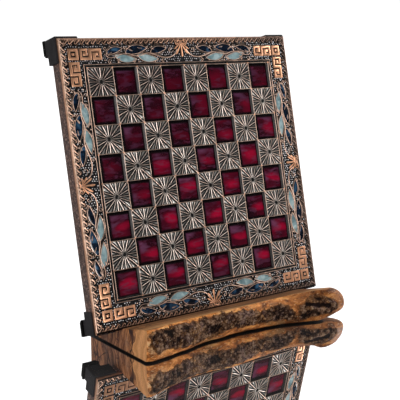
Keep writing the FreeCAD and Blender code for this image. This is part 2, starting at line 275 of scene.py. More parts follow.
def frame_sweep(build, profile, half_u=W2, v0=0.0, v1=PLATE_H, step=3.0, wobble=None, sides=(0, 1, 2, 3)):
    """Sweeps a profile of (inset, n) round the board's rectangle with mitred corners."""
    pr = np.asarray(profile, float)
    cs = [(-half_u, v0), (half_u, v0), (half_u, v1), (-half_u, v1)]
    inw = [(0, 1), (-1, 0), (0, -1), (1, 0)]
    for k in sides:
        a, b = np.array(cs[k], float), np.array(cs[(k + 1) % 4], float)
        L = np.linalg.norm(b - a)
        d = (b - a) / L
        m = max(2, int(L / step)) + 1
        s = np.linspace(0, 1, m)
        v = np.zeros((m, len(pr), 3))
        for j, (ins, n) in enumerate(pr):
            x = ins + s * (L - 2 * ins)
            q = a + d * x[:, None] + np.array(inw[k]) * ins
            v[:, j, :2] = q
            v[:, j, 2] = n
        if wobble is not None:
            v = wobble(v, k)
        build.add(v, flip(grid_faces(m, len(pr))))


# ------------------------------------------------------------------ material helpers
def new_mat(name):
    m = bpy.data.materials.new(name)
    m.use_nodes = True
    nt = m.node_tree
    nt.nodes.clear()
    out = nt.nodes.new("ShaderNodeOutputMaterial")
    bsdf = nt.nodes.new("ShaderNodeBsdfPrincipled")
    nt.links.new(bsdf.outputs[0], out.inputs[0])
    return m, nt, bsdf


class N:
    """Short hand for node graphs."""

    def __init__(self, nt):
        self.nt = nt

    def link(self, a, b):
        self.nt.links.new(a, b)

    def node(self, kind, **props):
        n = self.nt.nodes.new(kind)
        for k, v in props.items():
            setattr(n, k, v)
        return n

    def put(self, sock, val):
        if isinstance(val, bpy.types.NodeSocket):
            self.link(val, sock)
        else:
            sock.default_value = val

    def coord(self):
        return self.node("ShaderNodeTexCoord").outputs["Object"]

    def mapping(self, vec, scale=(1, 1, 1), rot=(0, 0, 0), loc=(0, 0, 0)):
        n = self.node("ShaderNodeMapping")
        self.link(vec, n.inputs["Vector"])
        n.inputs["Scale"].default_value = scale
        n.inputs["Rotation"].default_value = rot
        n.inputs["Location"].default_value = loc
        return n.outputs[0]

    def noise(self, vec, scale, detail=3.0, rough=0.5, distortion=0.0, lac=2.0):
        n = self.node("ShaderNodeTexNoise")
        self.link(vec, n.inputs["Vector"])
        n.inputs["Scale"].default_value = scale
        n.inputs["Detail"].default_value = detail
        n.inputs["Roughness"].default_value = rough
        n.inputs["Distortion"].default_value = distortion
        n.inputs["Lacunarity"].default_value = lac
        return n.outputs[0]

    def voronoi(self, vec, scale, feature="F1", out="Distance", rand=1.0):
        n = self.node("ShaderNodeTexVoronoi", feature=feature)
        self.link(vec, n.inputs["Vector"])
        n.inputs["Scale"].default_value = scale
        n.inputs["Randomness"].default_value = rand
        return n.outputs[out]

    def math(self, op, a, b=0.0, c=0.0, clamp=False):
        n = self.node("ShaderNodeMath", operation=op)
        n.use_clamp = clamp
        self.put(n.inputs[0], a)
        self.put(n.inputs[1], b)
        if len(n.inputs) > 2:
            self.put(n.inputs[2], c)
        return n.outputs[0]

    def ramp(self, fac, stops, interp="LINEAR"):
        n = self.node("ShaderNodeValToRGB")
        n.color_ramp.interpolation = interp
        els = n.color_ramp.elements
        while len(els) < len(stops):
            els.new(0.5)
        for e, (pos, col) in zip(els, stops):
            e.position = pos
            e.color = (col, col, col, 1) if isinstance(col, (int, float)) else (*col, 1)
        self.link(fac, n.inputs[0])
        return n.outputs[0]

    def mix(self, fac, a, b, blend="MIX"):
        n = self.node("ShaderNodeMix", data_type="RGBA", blend_type=blend)
        self.put(n.inputs[0], fac)
        self.put(n.inputs[6], (*a, 1) if isinstance(a, tuple) else a)
        self.put(n.inputs[7], (*b, 1) if isinstance(b, tuple) else b)
        return n.outputs[2]

    def remap(self, val, a, b, c=0.0, d=1.0, smooth=True):
        n = self.node("ShaderNodeMapRange", interpolation_type="SMOOTHSTEP" if smooth else "LINEAR")
        self.put(n.inputs[0], val)
        for k, x in zip((1, 2, 3, 4), (a, b, c, d)):
            n.inputs[k].default_value = x
        return n.outputs[0]

    def xyz(self, vec):
        n = self.node("ShaderNodeSeparateXYZ")
        self.link(vec, n.inputs[0])
        return n.outputs

    def bump(self, height, strength, dist, normal=None):
        n = self.node("ShaderNodeBump")
        n.inputs["Strength"].default_value = strength
        n.inputs["Distance"].default_value = dist
        self.link(height, n.inputs["Height"])
        if normal is not None:
            self.link(normal, n.inputs["Normal"])
        return n.outputs[0]


def principled(bsdf, **kw):
    names = {"metal": "Metallic", "rough": "Roughness", "spec": "Specular IOR Level", "coat": "Coat Weight", "coat_rough": "Coat Roughness",
             "ior": "IOR", "sheen": "Sheen Weight", "sheen_rough": "Sheen Roughness", "aniso": "Anisotropic", "sss": "Subsurface Weight"}
    for k, v in kw.items():
        bsdf.inputs[names[k]].default_value = v


def relief_metal(name, stops, top, low, rough=0.34, spots=0.35, seed=0.0, tint=0.3, low_rough=None, foot=False):
    """Antiqued metal: rubbed bright where the relief is high, darker down its flanks and black in the recesses."""
    m, nt, b = new_mat(name)
    g = N(nt)
    co = g.coord()
    z = g.xyz(co)[2]
    n1 = g.noise(g.mapping(co, loc=(seed, seed * 2, 0)), 420, 4, 0.62)
    n2 = g.noise(g.mapping(co, loc=(seed + 3, 1, 0)), 60, 3, 0.6)
    shift = g.math("MULTIPLY", g.math("SUBTRACT", g.math("ADD", n1, g.math("MULTIPLY", n2, 0.8)), 0.9), spots * 0.0012)
    h = g.math("ADD", z, shift)
    t = g.remap(h, low / 1000, top / 1000, 0, 1, smooth=False)
    col = g.ramp(t, stops)
    n3 = g.noise(co, 160, 2, 0.5)
    col = g.mix(g.remap(n3, 0.35, 0.75, 0.0, tint), col, (0.55, 0.50, 0.48), "MULTIPLY")
    if name in ("sunburst_metal", "antique_silver"):
        # painted shade: the colour is darkened towards the top of the plate
        col = g.mix(g.remap(g.math("ADD", g.xyz(co)[1], g.math("MULTIPLY", g.xyz(co)[0], -0.3)), 0.19, 0.29, 0.0, 1.0), col, (0.70, 0.66, 0.66), "MULTIPLY")
    if foot:
        # painted light: paler along the left edge; painted shade: darker and browner towards the right edge
        col = g.mix(g.remap(g.xyz(co)[0], -0.131, -0.1365, 0.0, 1.0), col, (1.22, 1.38, 1.50), "MULTIPLY")
        col = g.mix(g.remap(g.xyz(co)[0], 0.04, 0.128, 0.0, 1.0), col, (0.40, 0.44, 0.50), "MULTIPLY")
        # painted shade: a near-black seam along the lower edge, where it stands in the groove
        col = g.mix(g.remap(g.math("ADD", g.xyz(co)[1], g.math("MULTIPLY", g.math("SUBTRACT", n2, 0.5), 0.0008)), 0.0019, 0.0026, 1.0, 0.0), col, (0.010, 0.006, 0.005))
    g.link(col, b.inputs["Base Color"])
    g.link(g.ramp(t, [(0.0, 0.70), (0.38, low_rough or rough + 0.14), (0.78, low_rough or rough + 0.05), (0.92, rough)]), b.inputs["Roughness"])
    g.link(g.ramp(t, [(0.0, 0.3), (0.4, 0.9), (1.0, 1.0)]), b.inputs["Metallic"])
    fine = g.noise(co, 900, 3, 0.6)
    g.link(g.bump(fine, 0.25, 0.00012, g.bump(n2, 0.35, 0.0003)), b.inputs["Normal"])
    return m


BLACK = (0.013, 0.012, 0.012)
GUN = (0.085, 0.074, 0.068)
SILVER = (0.56, 0.52, 0.48)
PINK = (0.84, 0.52, 0.385)
COPPER = (0.84, 0.44, 0.26)
BROWN = (0.30, 0.135, 0.07)
copper_bright = relief_metal("copper_polished", [(0.0, BLACK), (0.35, (0.10, 0.05, 0.03)), (0.65, (0.50, 0.25, 0.14)), (0.92, COPPER)], -0.02, -0.75, rough=0.40, spots=0.25)
copper_line = relief_metal("copper_lines", [(0.0, BLACK), (0.38, (0.03, 0.026, 0.024)), (0.58, (0.36, 0.26, 0.21)), (0.80, (0.78, 0.54, 0.42)), (1.0, (0.90, 0.60, 0.46))], -0.04, -0.8, rough=0.40, spots=0.40, seed=2.0, low_rough=0.3)
border_line = relief_metal("copper_border_lines", [(0.0, BLACK), (0.30, (0.04, 0.035, 0.032)), (0.55, (0.56, 0.49, 0.45)), (0.80, (0.86, 0.66, 0.55)), (1.0, (0.92, 0.62, 0.47))], -0.04, -0.8, rough=0.42, spots=0.25, seed=3.0, low_rough=0.28)
rim_copper = relief_metal("copper_rim", [(0.0, BLACK), (0.40, (0.035, 0.02, 0.015)), (0.68, (0.30, 0.17, 0.11)), (0.97, (0.72, 0.43, 0.30))], -0.02, -0.75, rough=0.40, spots=0.7, seed=4.0, foot=True)
skirt_copper = relief_metal("copper_skirt", [(0.0, (0.02, 0.012, 0.01)), (0.25, (0.20, 0.10, 0.06)), (0.7, (0.62, 0.36, 0.25)), (1.0, COPPER)], -0.6, -4.4, rough=0.42, spots=1.2, seed=6.0)
antique_silver = relief_metal("antique_silver", [(0.0, (0.006, 0.006, 0.007)), (0.45, (0.02, 0.02, 0.022)), (0.70, (0.46, 0.45, 0.46)), (1.0, (0.76, 0.75, 0.77))], -0.34, -0.90, rough=0.36, spots=0.30, seed=5.0)
tile_metal = relief_metal("sunburst_metal", [(0.0, (0.005, 0.005, 0.005)), (0.17, (0.006, 0.005, 0.005)), (0.27, (0.06, 0.055, 0.05)), (0.44, (0.46, 0.44, 0.41)), (0.62, (0.60, 0.56, 0.53)), (0.84, (0.74, 0.61, 0.53)),
                                             (1.0, (0.90, 0.68, 0.56))], -0.02, -1.05, rough=0.40, spots=0.15, seed=8.0, tint=0.25, low_rough=0.30)
socket_metal = relief_metal("socket_silver", [(0.0, (0.012, 0.011, 0.011)), (0.30, (0.05, 0.046, 0.046)), (0.60, (0.045, 0.042, 0.042)), (0.80, (0.025, 0.023, 0.022)), (0.88, (0.215, 0.195, 0.187)), (1.0, (0.10, 0.09, 0.085))], -0.6, -2.15, rough=0.26, spots=0.3, seed=9.0)
patina = relief_metal("dark_patina", [(0.0, (0.006, 0.006, 0.007)), (0.6, (0.014, 0.013, 0.013)), (1.0, (0.04, 0.036, 0.034))], -0.6, -1.1, rough=0.55, spots=0.6, seed=11.0)


def enamel(name, dark, main, light, sheen_col, scale=45.0, squares=False, rough=0.16, pos=(0.30, 0.50, 0.68), rim=False):
    m, nt, b = new_mat(name)
    g = N(nt)
    co = g.coord()
    if squares:
        # pearl streaks that lie across each square, rising a little to the right
        st = g.mapping(co, scale=(0.42, 1.0, 1.0), rot=(0, 0, math.radians(-12)))
        warp = g.noise(g.mapping(co, scale=(0.8, 1.0, 1.0), loc=(0.2, 0.4, 0)), scale, 2, 0.5, 0.3)
        n2 = g.noise(st, scale * 3.1, 3, 0.5, 0.5)
    else:
        warp = g.noise(co, scale, 2, 0.5, 0.6)
        n2 = g.noise(g.mapping(co, loc=(0.3, 0.1, 0)), scale * 2.6, 3, 0.55, 0.4)
    col = g.ramp(warp, [(pos[0], dark), (pos[1], main), (pos[2], light)])
    if squares:
        xyz = g.xyz(co)
        fu = g.math("SUBTRACT", g.math("FRACT", g.math("ADD", g.math("DIVIDE", xyz[0], SQ / 1000), 8.0)), 0.5)
        fv = g.math("SUBTRACT", g.math("FRACT", g.math("ADD", g.math("DIVIDE", g.math("SUBTRACT", xyz[1], FIELD_V / 1000), SQ / 1000), 8.0)), 0.5)
        # each square is redder right of its middle, partly the enamel's own tone and partly painted light coming back
        # through it; a painted violet sheen lies up and to the left; it differs from square to square
        own = g.noise(g.mapping(co, loc=(5.0, 3.0, 0)), 13, 2, 0.5)
        own2 = g.noise(g.mapping(co, loc=(1.0, 8.0, 0)), 17, 2, 0.5)
        cx = g.math("SUBTRACT", g.math("ADD", fu, g.math("MULTIPLY", g.math("SUBTRACT", own2, 0.5), 0.5)), 0.13)
        cy = g.math("ADD", g.math("ADD", fv, g.math("MULTIPLY", g.math("SUBTRACT", own, 0.5), 0.8)), 0.02)
        rr = g.math("ADD", g.math("MULTIPLY", cx, cx), g.math("MULTIPLY", g.math("MULTIPLY", cy, cy), 5.0))
        heart = g.remap(g.math("ADD", rr, g.math("MULTIPLY", g.math("SUBTRACT", n2, 0.5), 0.34)), -0.01, 0.24, 1.0, 0.0)
        # painted light: the bright red heart fades towards the top rows of the field
        heart = g.math("MULTIPLY", heart, g.remap(xyz[1], 0.11, 0.25, 1.0, 0.22))
        # painted shade: the enamel is darker towards the upper left of the field
        painted_field_light = g.remap(g.math("ADD", xyz[0], g.math("MULTIPLY", g.math("SUBTRACT", FIELD_V / 1000, xyz[1]), 0.8)), -0.13, 0.02, 0.25, 1.0)
        col = g.mix(g.math("MULTIPLY", g.math("SUBTRACT", 1.0, painted_field_light), 0.55), col, dark)
        col = g.mix(g.math("MULTIPLY", g.math("MULTIPLY", heart, g.remap(warp, 0.32, 0.58, 0.45, 1.0)), painted_field_light), col, light)
        tone = g.math("ADD", g.math("MULTIPLY", fv, 0.9), g.math("MULTIPLY", fu, -0.5))
        # painted sheen: violet streaks up and to the left of each square
        painted_violet_sheen = g.remap(g.math("ADD", g.math("MULTIPLY", n2, 1.0), g.math("MULTIPLY", tone, 0.42)), 0.55, 0.80, 0.0, 0.72)
        col = g.mix(painted_violet_sheen, col, sheen_col)
        fine2 = g.noise(g.mapping(co, scale=(0.35, 1.0, 1.0), rot=(0, 0, math.radians(-14)), loc=(0.7, 0, 0)), scale * 8.0, 2, 0.5, 0.4)
        col = g.mix(g.remap(fine2, 0.50, 0.66, 0, 0.45), col, tuple(0.55 * x + 0.45 * y for x, y in zip(sheen_col, dark)))
        # dark margins round each square, wider on the left: partly the enamel lying thicker at its edges, partly
        # painted shade of the pocket walls
        ed = g.math("MAXIMUM", g.math("MULTIPLY", g.math("SUBTRACT", g.math("MULTIPLY", fu, -1.0), 0.335), 9.0),
                    g.math("MAXIMUM", g.math("MULTIPLY", g.math("SUBTRACT", fu, 0.372), 14.0),
                           g.math("MULTIPLY", g.math("SUBTRACT", g.math("ABSOLUTE", g.math("ADD", fv, 0.012)), 0.372), 11.0)))
        # painted shade: the enamel is darker towards the top of the field
        col = g.mix(g.remap(xyz[1], 0.13, 0.26, 0.0, 0.9), col, (0.66, 0.62, 0.70), "MULTIPLY")
        ed = g.math("ADD", ed, g.math("MULTIPLY", g.math("SUBTRACT", n2, 0.5), 0.6))
        col = g.mix(g.remap(ed, -0.45, 0.55, 0, 1.0), col, (0.0035, 0.0016, 0.0022))
    else:
        col = g.mix(g.remap(n2, 0.45, 0.72, 0, 0.6), col, sheen_col)
        if rim:
            # painted shade: darker where the enamel lies low along its edges, next to the copper rim
            col = g.mix(g.remap(g.xyz(co)[2], -0.00084, -0.00066, 0.9, 0.0), col, dark)
    g.link(col, b.inputs["Base Color"])
    principled(b, rough=rough, coat=0.5, coat_rough=0.07, metal=0.0)
    g.link(g.bump(n2, 0.08, 0.0004), b.inputs["Normal"])
    return m


red_enamel = enamel("red_enamel_pearl", (0.022, 0.0020, 0.007), (0.070, 0.0022, 0.012), (0.40, 0.0030, 0.032), (0.185, 0.062, 0.132), 34, True, pos=(0.30, 0.50, 1.0))
# blue_enamel_gloss: its light blue patches are painted highlights on the near-black enamel
blue_enamel = enamel("blue_enamel_gloss", (0.003, 0.005, 0.010), (0.006, 0.018, 0.042), (0.075, 0.20, 0.35), (0.004, 0.012, 0.028), 95, pos=(0.36, 0.52, 0.74), rim=True)
teal_enamel = enamel("teal_enamel_gloss", (0.13, 0.21, 0.23), (0.30, 0.43, 0.45), (0.50, 0.62, 0.63), (0.20, 0.32, 0.36), 110)


def leather_mat():
    m, nt, b = new_mat("grained_leatherette")
    g = N(nt)
    co = g.coord()
    v1 = g.voronoi(co, 1100, "DISTANCE_TO_EDGE")
    n1 = g.noise(co, 480, 3, 0.65)
    n0 = g.noise(g.mapping(co, loc=(1, 2, 3)), 1500, 2, 0.6)
    n2 = g.noise(co, 90, 3, 0.6)
    tone = g.math("ADD", g.math("MULTIPLY", n1, 0.7), g.math("MULTIPLY", n0, 0.3))
    col = g.ramp(tone, [(0.38, (0.016, 0.009, 0.008)), (0.48, (0.062, 0.032, 0.027)), (0.56, (0.17, 0.098, 0.080)), (0.66, (0.46, 0.31, 0.25))])
    n3 = g.noise(g.mapping(co, loc=(5, 1, 2)), 300, 2, 0.6)
    col = g.mix(g.remap(n3, 0.50, 0.62, 0, 0.50), col, (0.13, 0.058, 0.034))
    col = g.mix(g.remap(n2, 0.3, 0.7, 0, 0.30), col, (0.022, 0.013, 0.014))
    g.link(col, b.inputs["Base Color"])
    principled(b, rough=0.58, spec=0.3)
    g.link(g.bump(v1, 0.5, 0.0005, g.bump(n1, 0.5, 0.0007)), b.inputs["Normal"])
    return m


def felt_mat():
    m, nt, b = new_mat("black_felt")
    g = N(nt)
    co = g.coord()
    n1 = g.noise(co, 1400, 4, 0.75)
    n2 = g.noise(g.mapping(co, scale=(1, 0.25, 1)), 2600, 2, 0.6)
    n3 = g.noise(co, 30, 3, 0.6)
    col = g.ramp(g.math("ADD", g.math("MULTIPLY", n1, 0.7), g.math("MULTIPLY", n2, 0.3)), [(0.30, (0.010, 0.010, 0.011)), (0.65, (0.040, 0.040, 0.043))])
    col = g.mix(g.remap(n3, 0.35, 0.7, 0, 0.3), col, (0.055, 0.053, 0.055))
    g.link(col, b.inputs["Base Color"])
    principled(b, rough=0.95, spec=0.2, sheen=0.5, sheen_rough=0.5)
    g.link(g.bump(n1, 0.7, 0.0005, g.bump(n2, 0.4, 0.0003)), b.inputs["Normal"])
    return m


def plastic_mat(name, base, grain=1500.0, rough=0.55, bump=0.25):
    m, nt, b = new_mat(name)
    g = N(nt)
    co = g.coord()
    n1 = g.noise(co, grain, 3, 0.6)
    n2 = g.noise(co, 70, 4, 0.6)
    col = g.ramp(n2, [(0.3, tuple(x * 0.75 for x in base)), (0.7, tuple(x * 1.4 for x in base))])
    g.link(col, b.inputs["Base Color"])
    g.link(g.remap(n2, 0.3, 0.7, rough - 0.08, rough + 0.08), b.inputs["Roughness"])
    g.link(g.bump(n1, bump, 0.0002, g.bump(n2, 0.1, 0.0008)), b.inputs["Normal"])
    principled(b, spec=0.02)
    return m


def steel_mat():
    m, nt, b = new_mat("zinc_plated_steel")
    g = N(nt)
    co = g.coord()
    n1 = g.noise(g.mapping(co, scale=(1, 6, 1)), 1500, 3, 0.6)
    col = g.ramp(n1, [(0.3, (0.38, 0.38, 0.37)), (0.7, (0.62, 0.61, 0.58))])
    g.link(col, b.inputs["Base Color"])
    principled(b, metal=1.0)
    g.link(g.remap(n1, 0.3, 0.7, 0.25, 0.42), b.inputs["Roughness"])
    g.link(g.bump(n1, 0.2, 0.0001), b.inputs["Normal"])
    return m


leather = leather_mat()
felt = felt_mat()
foot_plastic = plastic_mat("moulded_black", (0.027, 0.0255, 0.027))
pad_rubber = plastic_mat("black_rubber", (0.008, 0.008, 0.008), 2200, 0.75, 0.4)
steel = steel_mat()
panel = plastic_mat("fibre_panel", (0.30, 0.21, 0.13), 900, 0.8, 0.5)


# ------------------------------------------------------------------ relief: sunburst squares
def sunburst(build, cu, cv, turn):
    """One square: sixteen thin spokes from the centre hole to the border, and a low two-sided fin between each two."""
    h = SQ / 2 - 0.45
    per = math.pi / 8
    fr = [0.0, 0.07, 0.16, 0.27, 0.40, 0.54, 0.68, 0.82, 0.92, 0.97, 1.0]
    r0 = 2.08
    names = 12
    q = rng.uniform(-1, 1, (16, 4))
    rows = []
    for f in fr:
        ring = np.zeros((16, names, 3))
        for k in range(16):
            th = k * per
            diag = k % 4 == 2
            R = h / max(abs(math.cos(th)), abs(math.sin(th)))
            r = r0 + f * (R - r0)
            P = r * per
            a = min(0.33 + (0.08 if diag else 0.0) + 0.04 * q[k, 0], 0.16 * P)
            gr = min(1.24 + 0.14 * q[k, 1], 0.25 * P)
            fin = P / 2 - a - gr
            lift = min(0.52, 0.37 * fin + 0.05)
            side = 0.12 * q[k, 2] * fin
            xs = np.array([-a, -0.55 * a, 0, 0.55 * a, a, a + 0.5 * gr, a + gr, a + gr + 0.5 * (fin + side), P / 2 + side, P - a - gr - 0.5 * (fin - side), P - a - gr,
                           P - a - 0.5 * gr])
            ang = th + xs / r
            Rr = h / np.maximum(np.abs(np.cos(ang)), np.abs(np.sin(ang)))
            rad = r0 + f * (Rr - r0)
            low = np.interp(f, [0, 0.06, 0.16, 0.9, 1.0], [-0.78, -0.92, -1.05, -1.12, -1.02])
            edge = low + np.interp(f, [0, 0.1, 1], [0.02, 0.12, 0.20])
            crest = edge + lift * np.interp(f, [0, 0.1, 0.9, 0.97, 1.0], [0.35, 0.8, 1.0, 0.8, 0.4])
            crest = min(crest, -0.16)
            top = np.interp(f, [0, 0.1, 0.25, 1], [-0.26, -0.14, -0.05, 0.0]) + 0.03 * q[k, 3]
            ring[k, :, 0] = rad * np.cos(ang)
            ring[k, :, 1] = rad * np.sin(ang)
            ring[k, :, 2] = [edge, top - 0.07, top, top - 0.07, edge, low, edge, 0.5 * (edge + crest) + 0.03, crest, 0.5 * (edge + crest) + 0.03, edge, low]
        rows.append(ring.reshape(-1, 3))
    na = 16 * names
    ang0 = np.arctan2(rows[0][:, 1], rows[0][:, 0])
    collar = []
    for rx, ry, z in [(1.50, 1.88, -1.70), (1.56, 1.93, -1.30), (1.70, 2.00, -0.84)]:
        collar.append(np.stack([(rx + 0.08 * np.sin(2 * ang0 + turn * 5)) * np.cos(ang0), ry * np.sin(ang0), np.full(na, z)], 1))
    v = np.concatenate(collar + rows)
    nrow = len(collar) + len(rows)
    v = np.concatenate([v, [[0, 0, -1.5]]])
    f = grid_faces(nrow, na, wrap_b=True)
    c = len(v) - 1
    fan = np.stack([np.full(na, c), np.arange(na), (np.arange(na) + 1) % na], 1)
    v[:, 0] += cu
    v[:, 1] += cv
    p3 = np.column_stack([v[:, 0], v[:, 1], np.zeros(len(v))])
    v[:, 2] += 0.05 * noise3(p3, 2.1, 3) * (v[:, 2] > -0.7)
    build.add(v, [flip(f), fan])


tiles_a, tiles_b = Build(), Build()
reds, sockets, dark_walls = Build(), Build(), Build()
for i in range(8):
    for j in range(8):
        cu, cv = (i - 3.5) * SQ, FIELD_V + (3.5 - j) * SQ
        if (i + j) % 2 == 0:
            sunburst(tiles_a if j < 4 else tiles_b, cu, cv, i * 1.7 + j * 0.9)
            continue
        # pocket walls: a ledge and a sloping wall on the right, a plain slope on the left, steep walls above and below
        # made near-black as painted shade
        sv = np.linspace(-SQ / 2 + 0.38, SQ / 2 - 0.38, 8)
        for sg, prof in ((1, [(0.28, -0.45), (0.46, -0.74), (0.72, -0.90), (0.86, -0.84), (1.10, -0.76), (1.30, -0.95), (1.62, -1.20), (1.95, -1.75), (2.2, -2.12), (2.5, -2.32)]),
                         (-1, [(0.28, -0.45), (0.44, -0.80), (0.62, -1.20), (1.1, -1.72), (1.75, -2.32)])):
            pr = np.array(prof)
            gv_, gp_ = np.meshgrid(sv, np.arange(len(pr)), indexing="ij")
            vv = np.stack([cu + sg * (SQ / 2 - pr[gp_, 0]), cv + gv_, pr[gp_, 1]], -1)
            vv[..., 2] += 0.05 * noise3(vv + cu, 3.0, 5)
            fw = grid_faces(len(sv), len(pr))
            sockets.add(vv, flip(fw) if sg > 0 else fw)
        frame_sweep(dark_walls, [(0.28, -0.5), (0.42, -0.85), (0.50, -1.5), (0.56, -2.36)], SQ / 2, cv - SQ / 2, cv + SQ / 2, step=6.0, sides=(0, 2),
                    wobble=lambda v, k, cu=cu: v + np.array([cu, 0.0, 0.0]))
        m = 17
        x = np.linspace(-1, 1, m)
        gx, gy = np.meshgrid(x, x, indexing="ij")
        u, v = cu - 0.3 + gx * 11.9, cv + gy * 13.38
        p3 = np.stack([u, v, np.full_like(u, i * 9.0 + j * 5.0)], -1)
        edge = np.maximum(np.abs(gx), np.abs(gy))
        z = -2.05 + 0.06 * noise3(p3, 9.0, 21) + 0.02 * noise3(p3, 3.5, 22)
        top = np.stack([u, v, z], -1).reshape(-1, 3)
        ringi = np.concatenate([np.arange(m) * m, (m - 1) * m + np.arange(1, m), (np.arange(m - 1) * m + m - 1)[::-1], np.arange(m - 2, 0, -1)])
        low = top[ringi].copy()
        low[:, 2] = -2.38
        L = len(ringi)
        skirt = np.stack([ringi, np.roll(ringi, -1), m * m + np.roll(np.arange(L), -1), m * m + np.arange(L)], 1)
        reds.add(np.concatenate([top, low]), [flip(grid_faces(m, m)), flip(skirt), (m * m + np.arange(L))[None]])
tiles_a.make("sunburst_squares_upper", tile_metal, slot="copper_relief", replaces=("relief_plate",))
tiles_b.make("sunburst_squares_lower", tile_metal, slot="copper_relief")
sockets.make("enamel_sockets", socket_metal, slot="copper_relief", sharp=50)
dark_walls.make("pocket_walls_dark", patina, slot="copper_relief", sharp=50)
reds.make("red_enamel_fills", red_enamel, slot="red_enamel", replaces=("red_enamel_squares",), sharp=50)

# border lines of the squares, and small knots of metal where they cross
lines = Build()
for k in range(9):
    c = (k - 4) * SQ
    s = np.linspace(-HALF, HALF, 161)
    for horizontal in (False, True):
        p3 = np.stack([s, np.full_like(s, c), np.full_like(s, 7.0 * horizontal)], 1)
        off = 0.10 * noise3(p3, 11.0, 31)
        w = 0.54 + 0.08 * noise3(p3, 4.0, 32)
        top = -0.04 + 0.05 * noise3(p3, 6.0, 33)
        pts = np.stack([s, c + off + FIELD_V], 1) if horizontal else np.stack([c + off, s + FIELD_V], 1)
        ridge(lines, pts, w, top, base=-0.9, stamp=False)
lines.make("square_border_lines", border_line, slot="copper_relief")

knots = Build()
ang = np.linspace(0, 2 * math.pi, 14, endpoint=False)
for i in range(9):
    for j in range(9):
        cu, cv = (i - 4) * SQ, (j - 4) * SQ + FIELD_V
        q = rng.uniform(-1, 1, 4)
        r0 = 0.74 + 0.12 * q[0]
        rings = [(r0, -0.7), (r0 * 0.94, -0.2), (r0 * 0.72, 0.0), (r0 * 0.35, 0.05)]
        v = np.concatenate([np.stack([cu + r * (1 + 0.14 * np.sin(4 * ang + q[1])) * np.cos(ang), cv + r * (1 + 0.12 * np.sin(3 * ang + q[2])) * np.sin(ang),
                                      np.full(14, z)], 1) for r, z in rings] + [[[cu, cv, 0.06]]])
        f = grid_faces(4, 14, wrap_b=True)
        fan = np.stack([np.arange(14) + 42, (np.arange(14) + 1) % 14 + 42, np.full(14, 56)], 1)
        knots.add(v, [f, fan])
knots.make("crossing_knots", copper_bright, slot="copper_relief")

# ------------------------------------------------------------------ relief: frame lines, rim and running wave
frames = Build()
for t, w, top in [(0.35, 0.5, -0.40), (1.75, 0.42, -0.62), (2.85, 0.74, -0.14)]:
    h = HALF + t
    for k in range(4):
        at = side_map(k)
        s = np.linspace(-h, h, 150)
        p3 = np.stack([s, np.full_like(s, t * 9), np.full_like(s, k * 5.0)], 1)
        pts = at(np.stack([s, t + 0.10 * noise3(p3, 9.0, 41)], 1))
        ridge(frames, pts, w * (1 + 0.12 * noise3(p3, 5.0, 42)), top + 0.05 * noise3(p3, 5.0, 43), pad=0.35)
frames.make("field_frame_lines", copper_line, slot="copper_relief")


def rim_wobble(v, k):
    p3 = v.copy()
    p3[..., 2] = 40.0 * k
    a = noise3(p3, 7.0, 51) * 0.6 + noise3(p3, 2.6, 52) * 0.4
    mask = (v[..., 2] > -0.7)
    v[..., 2] += 0.09 * a * mask
    return v


rim = Build()
frame_sweep(rim, [(2.0, GROUND), (1.78, -0.62), (1.6, -0.28), (1.38, -0.13), (1.1, -0.07), (0.75, -0.05), (0.36, -0.08), (0.12, -0.2), (0.02, -0.45)], step=1.5, wobble=rim_wobble)
rim.make("plate_rim", rim_copper, slot="copper_relief", sharp=60)
skirt = Build()
frame_sweep(skirt, [(0.12, -0.24), (0.02, -0.45), (0.0, -0.95), (0.0, -2.2), (0.0, -3.4), (0.06, SKIRT_N + 0.1), (0.3, SKIRT_N), (1.0, SKIRT_N), (1.0, -3.05)], step=1.5,
            wobble=lambda v, k: v + np.stack([np.zeros(v.shape[:2])] * 2 + [np.zeros(v.shape[:2])], -1))
skirt.make("plate_skirt", skirt_copper, slot="copper_relief", sharp=60)

# sunken ground between field and rim, slightly uneven
ground = Build()
gu = np.linspace(-W2 + 3.0, W2 - 3.0, 217)
gv = np.linspace(3.0, PLATE_H - 3.0, 219)
U, V_ = np.meshgrid(gu, gv, indexing="ij")
p3 = np.stack([U, V_, np.zeros_like(U)], -1)
Zg = GROUND + 0.10 * noise3(p3, 3.2, 61) + 0.05 * noise3(p3, 1.4, 62)
faces = flip(grid_faces(217, 219)).reshape(216, 218, 4)
cu_, cv_ = (gu[:-1] + gu[1:]) / 2, (gv[:-1] + gv[1:]) / 2
inside = (np.abs(cu_)[:, None] < HALF - 1.5) & (np.abs(cv_ - FIELD_V)[None] < HALF - 1.5)
keep = faces[~inside]
used, inv = np.unique(keep, return_inverse=True)
gver = np.stack([U, V_, Zg], -1).reshape(-1, 3)[used]
ground.add(gver, flip(inv.reshape(-1, 4)) if False else inv.reshape(-1, 4))
ground.make("relief_ground", patina, slot="copper_relief")

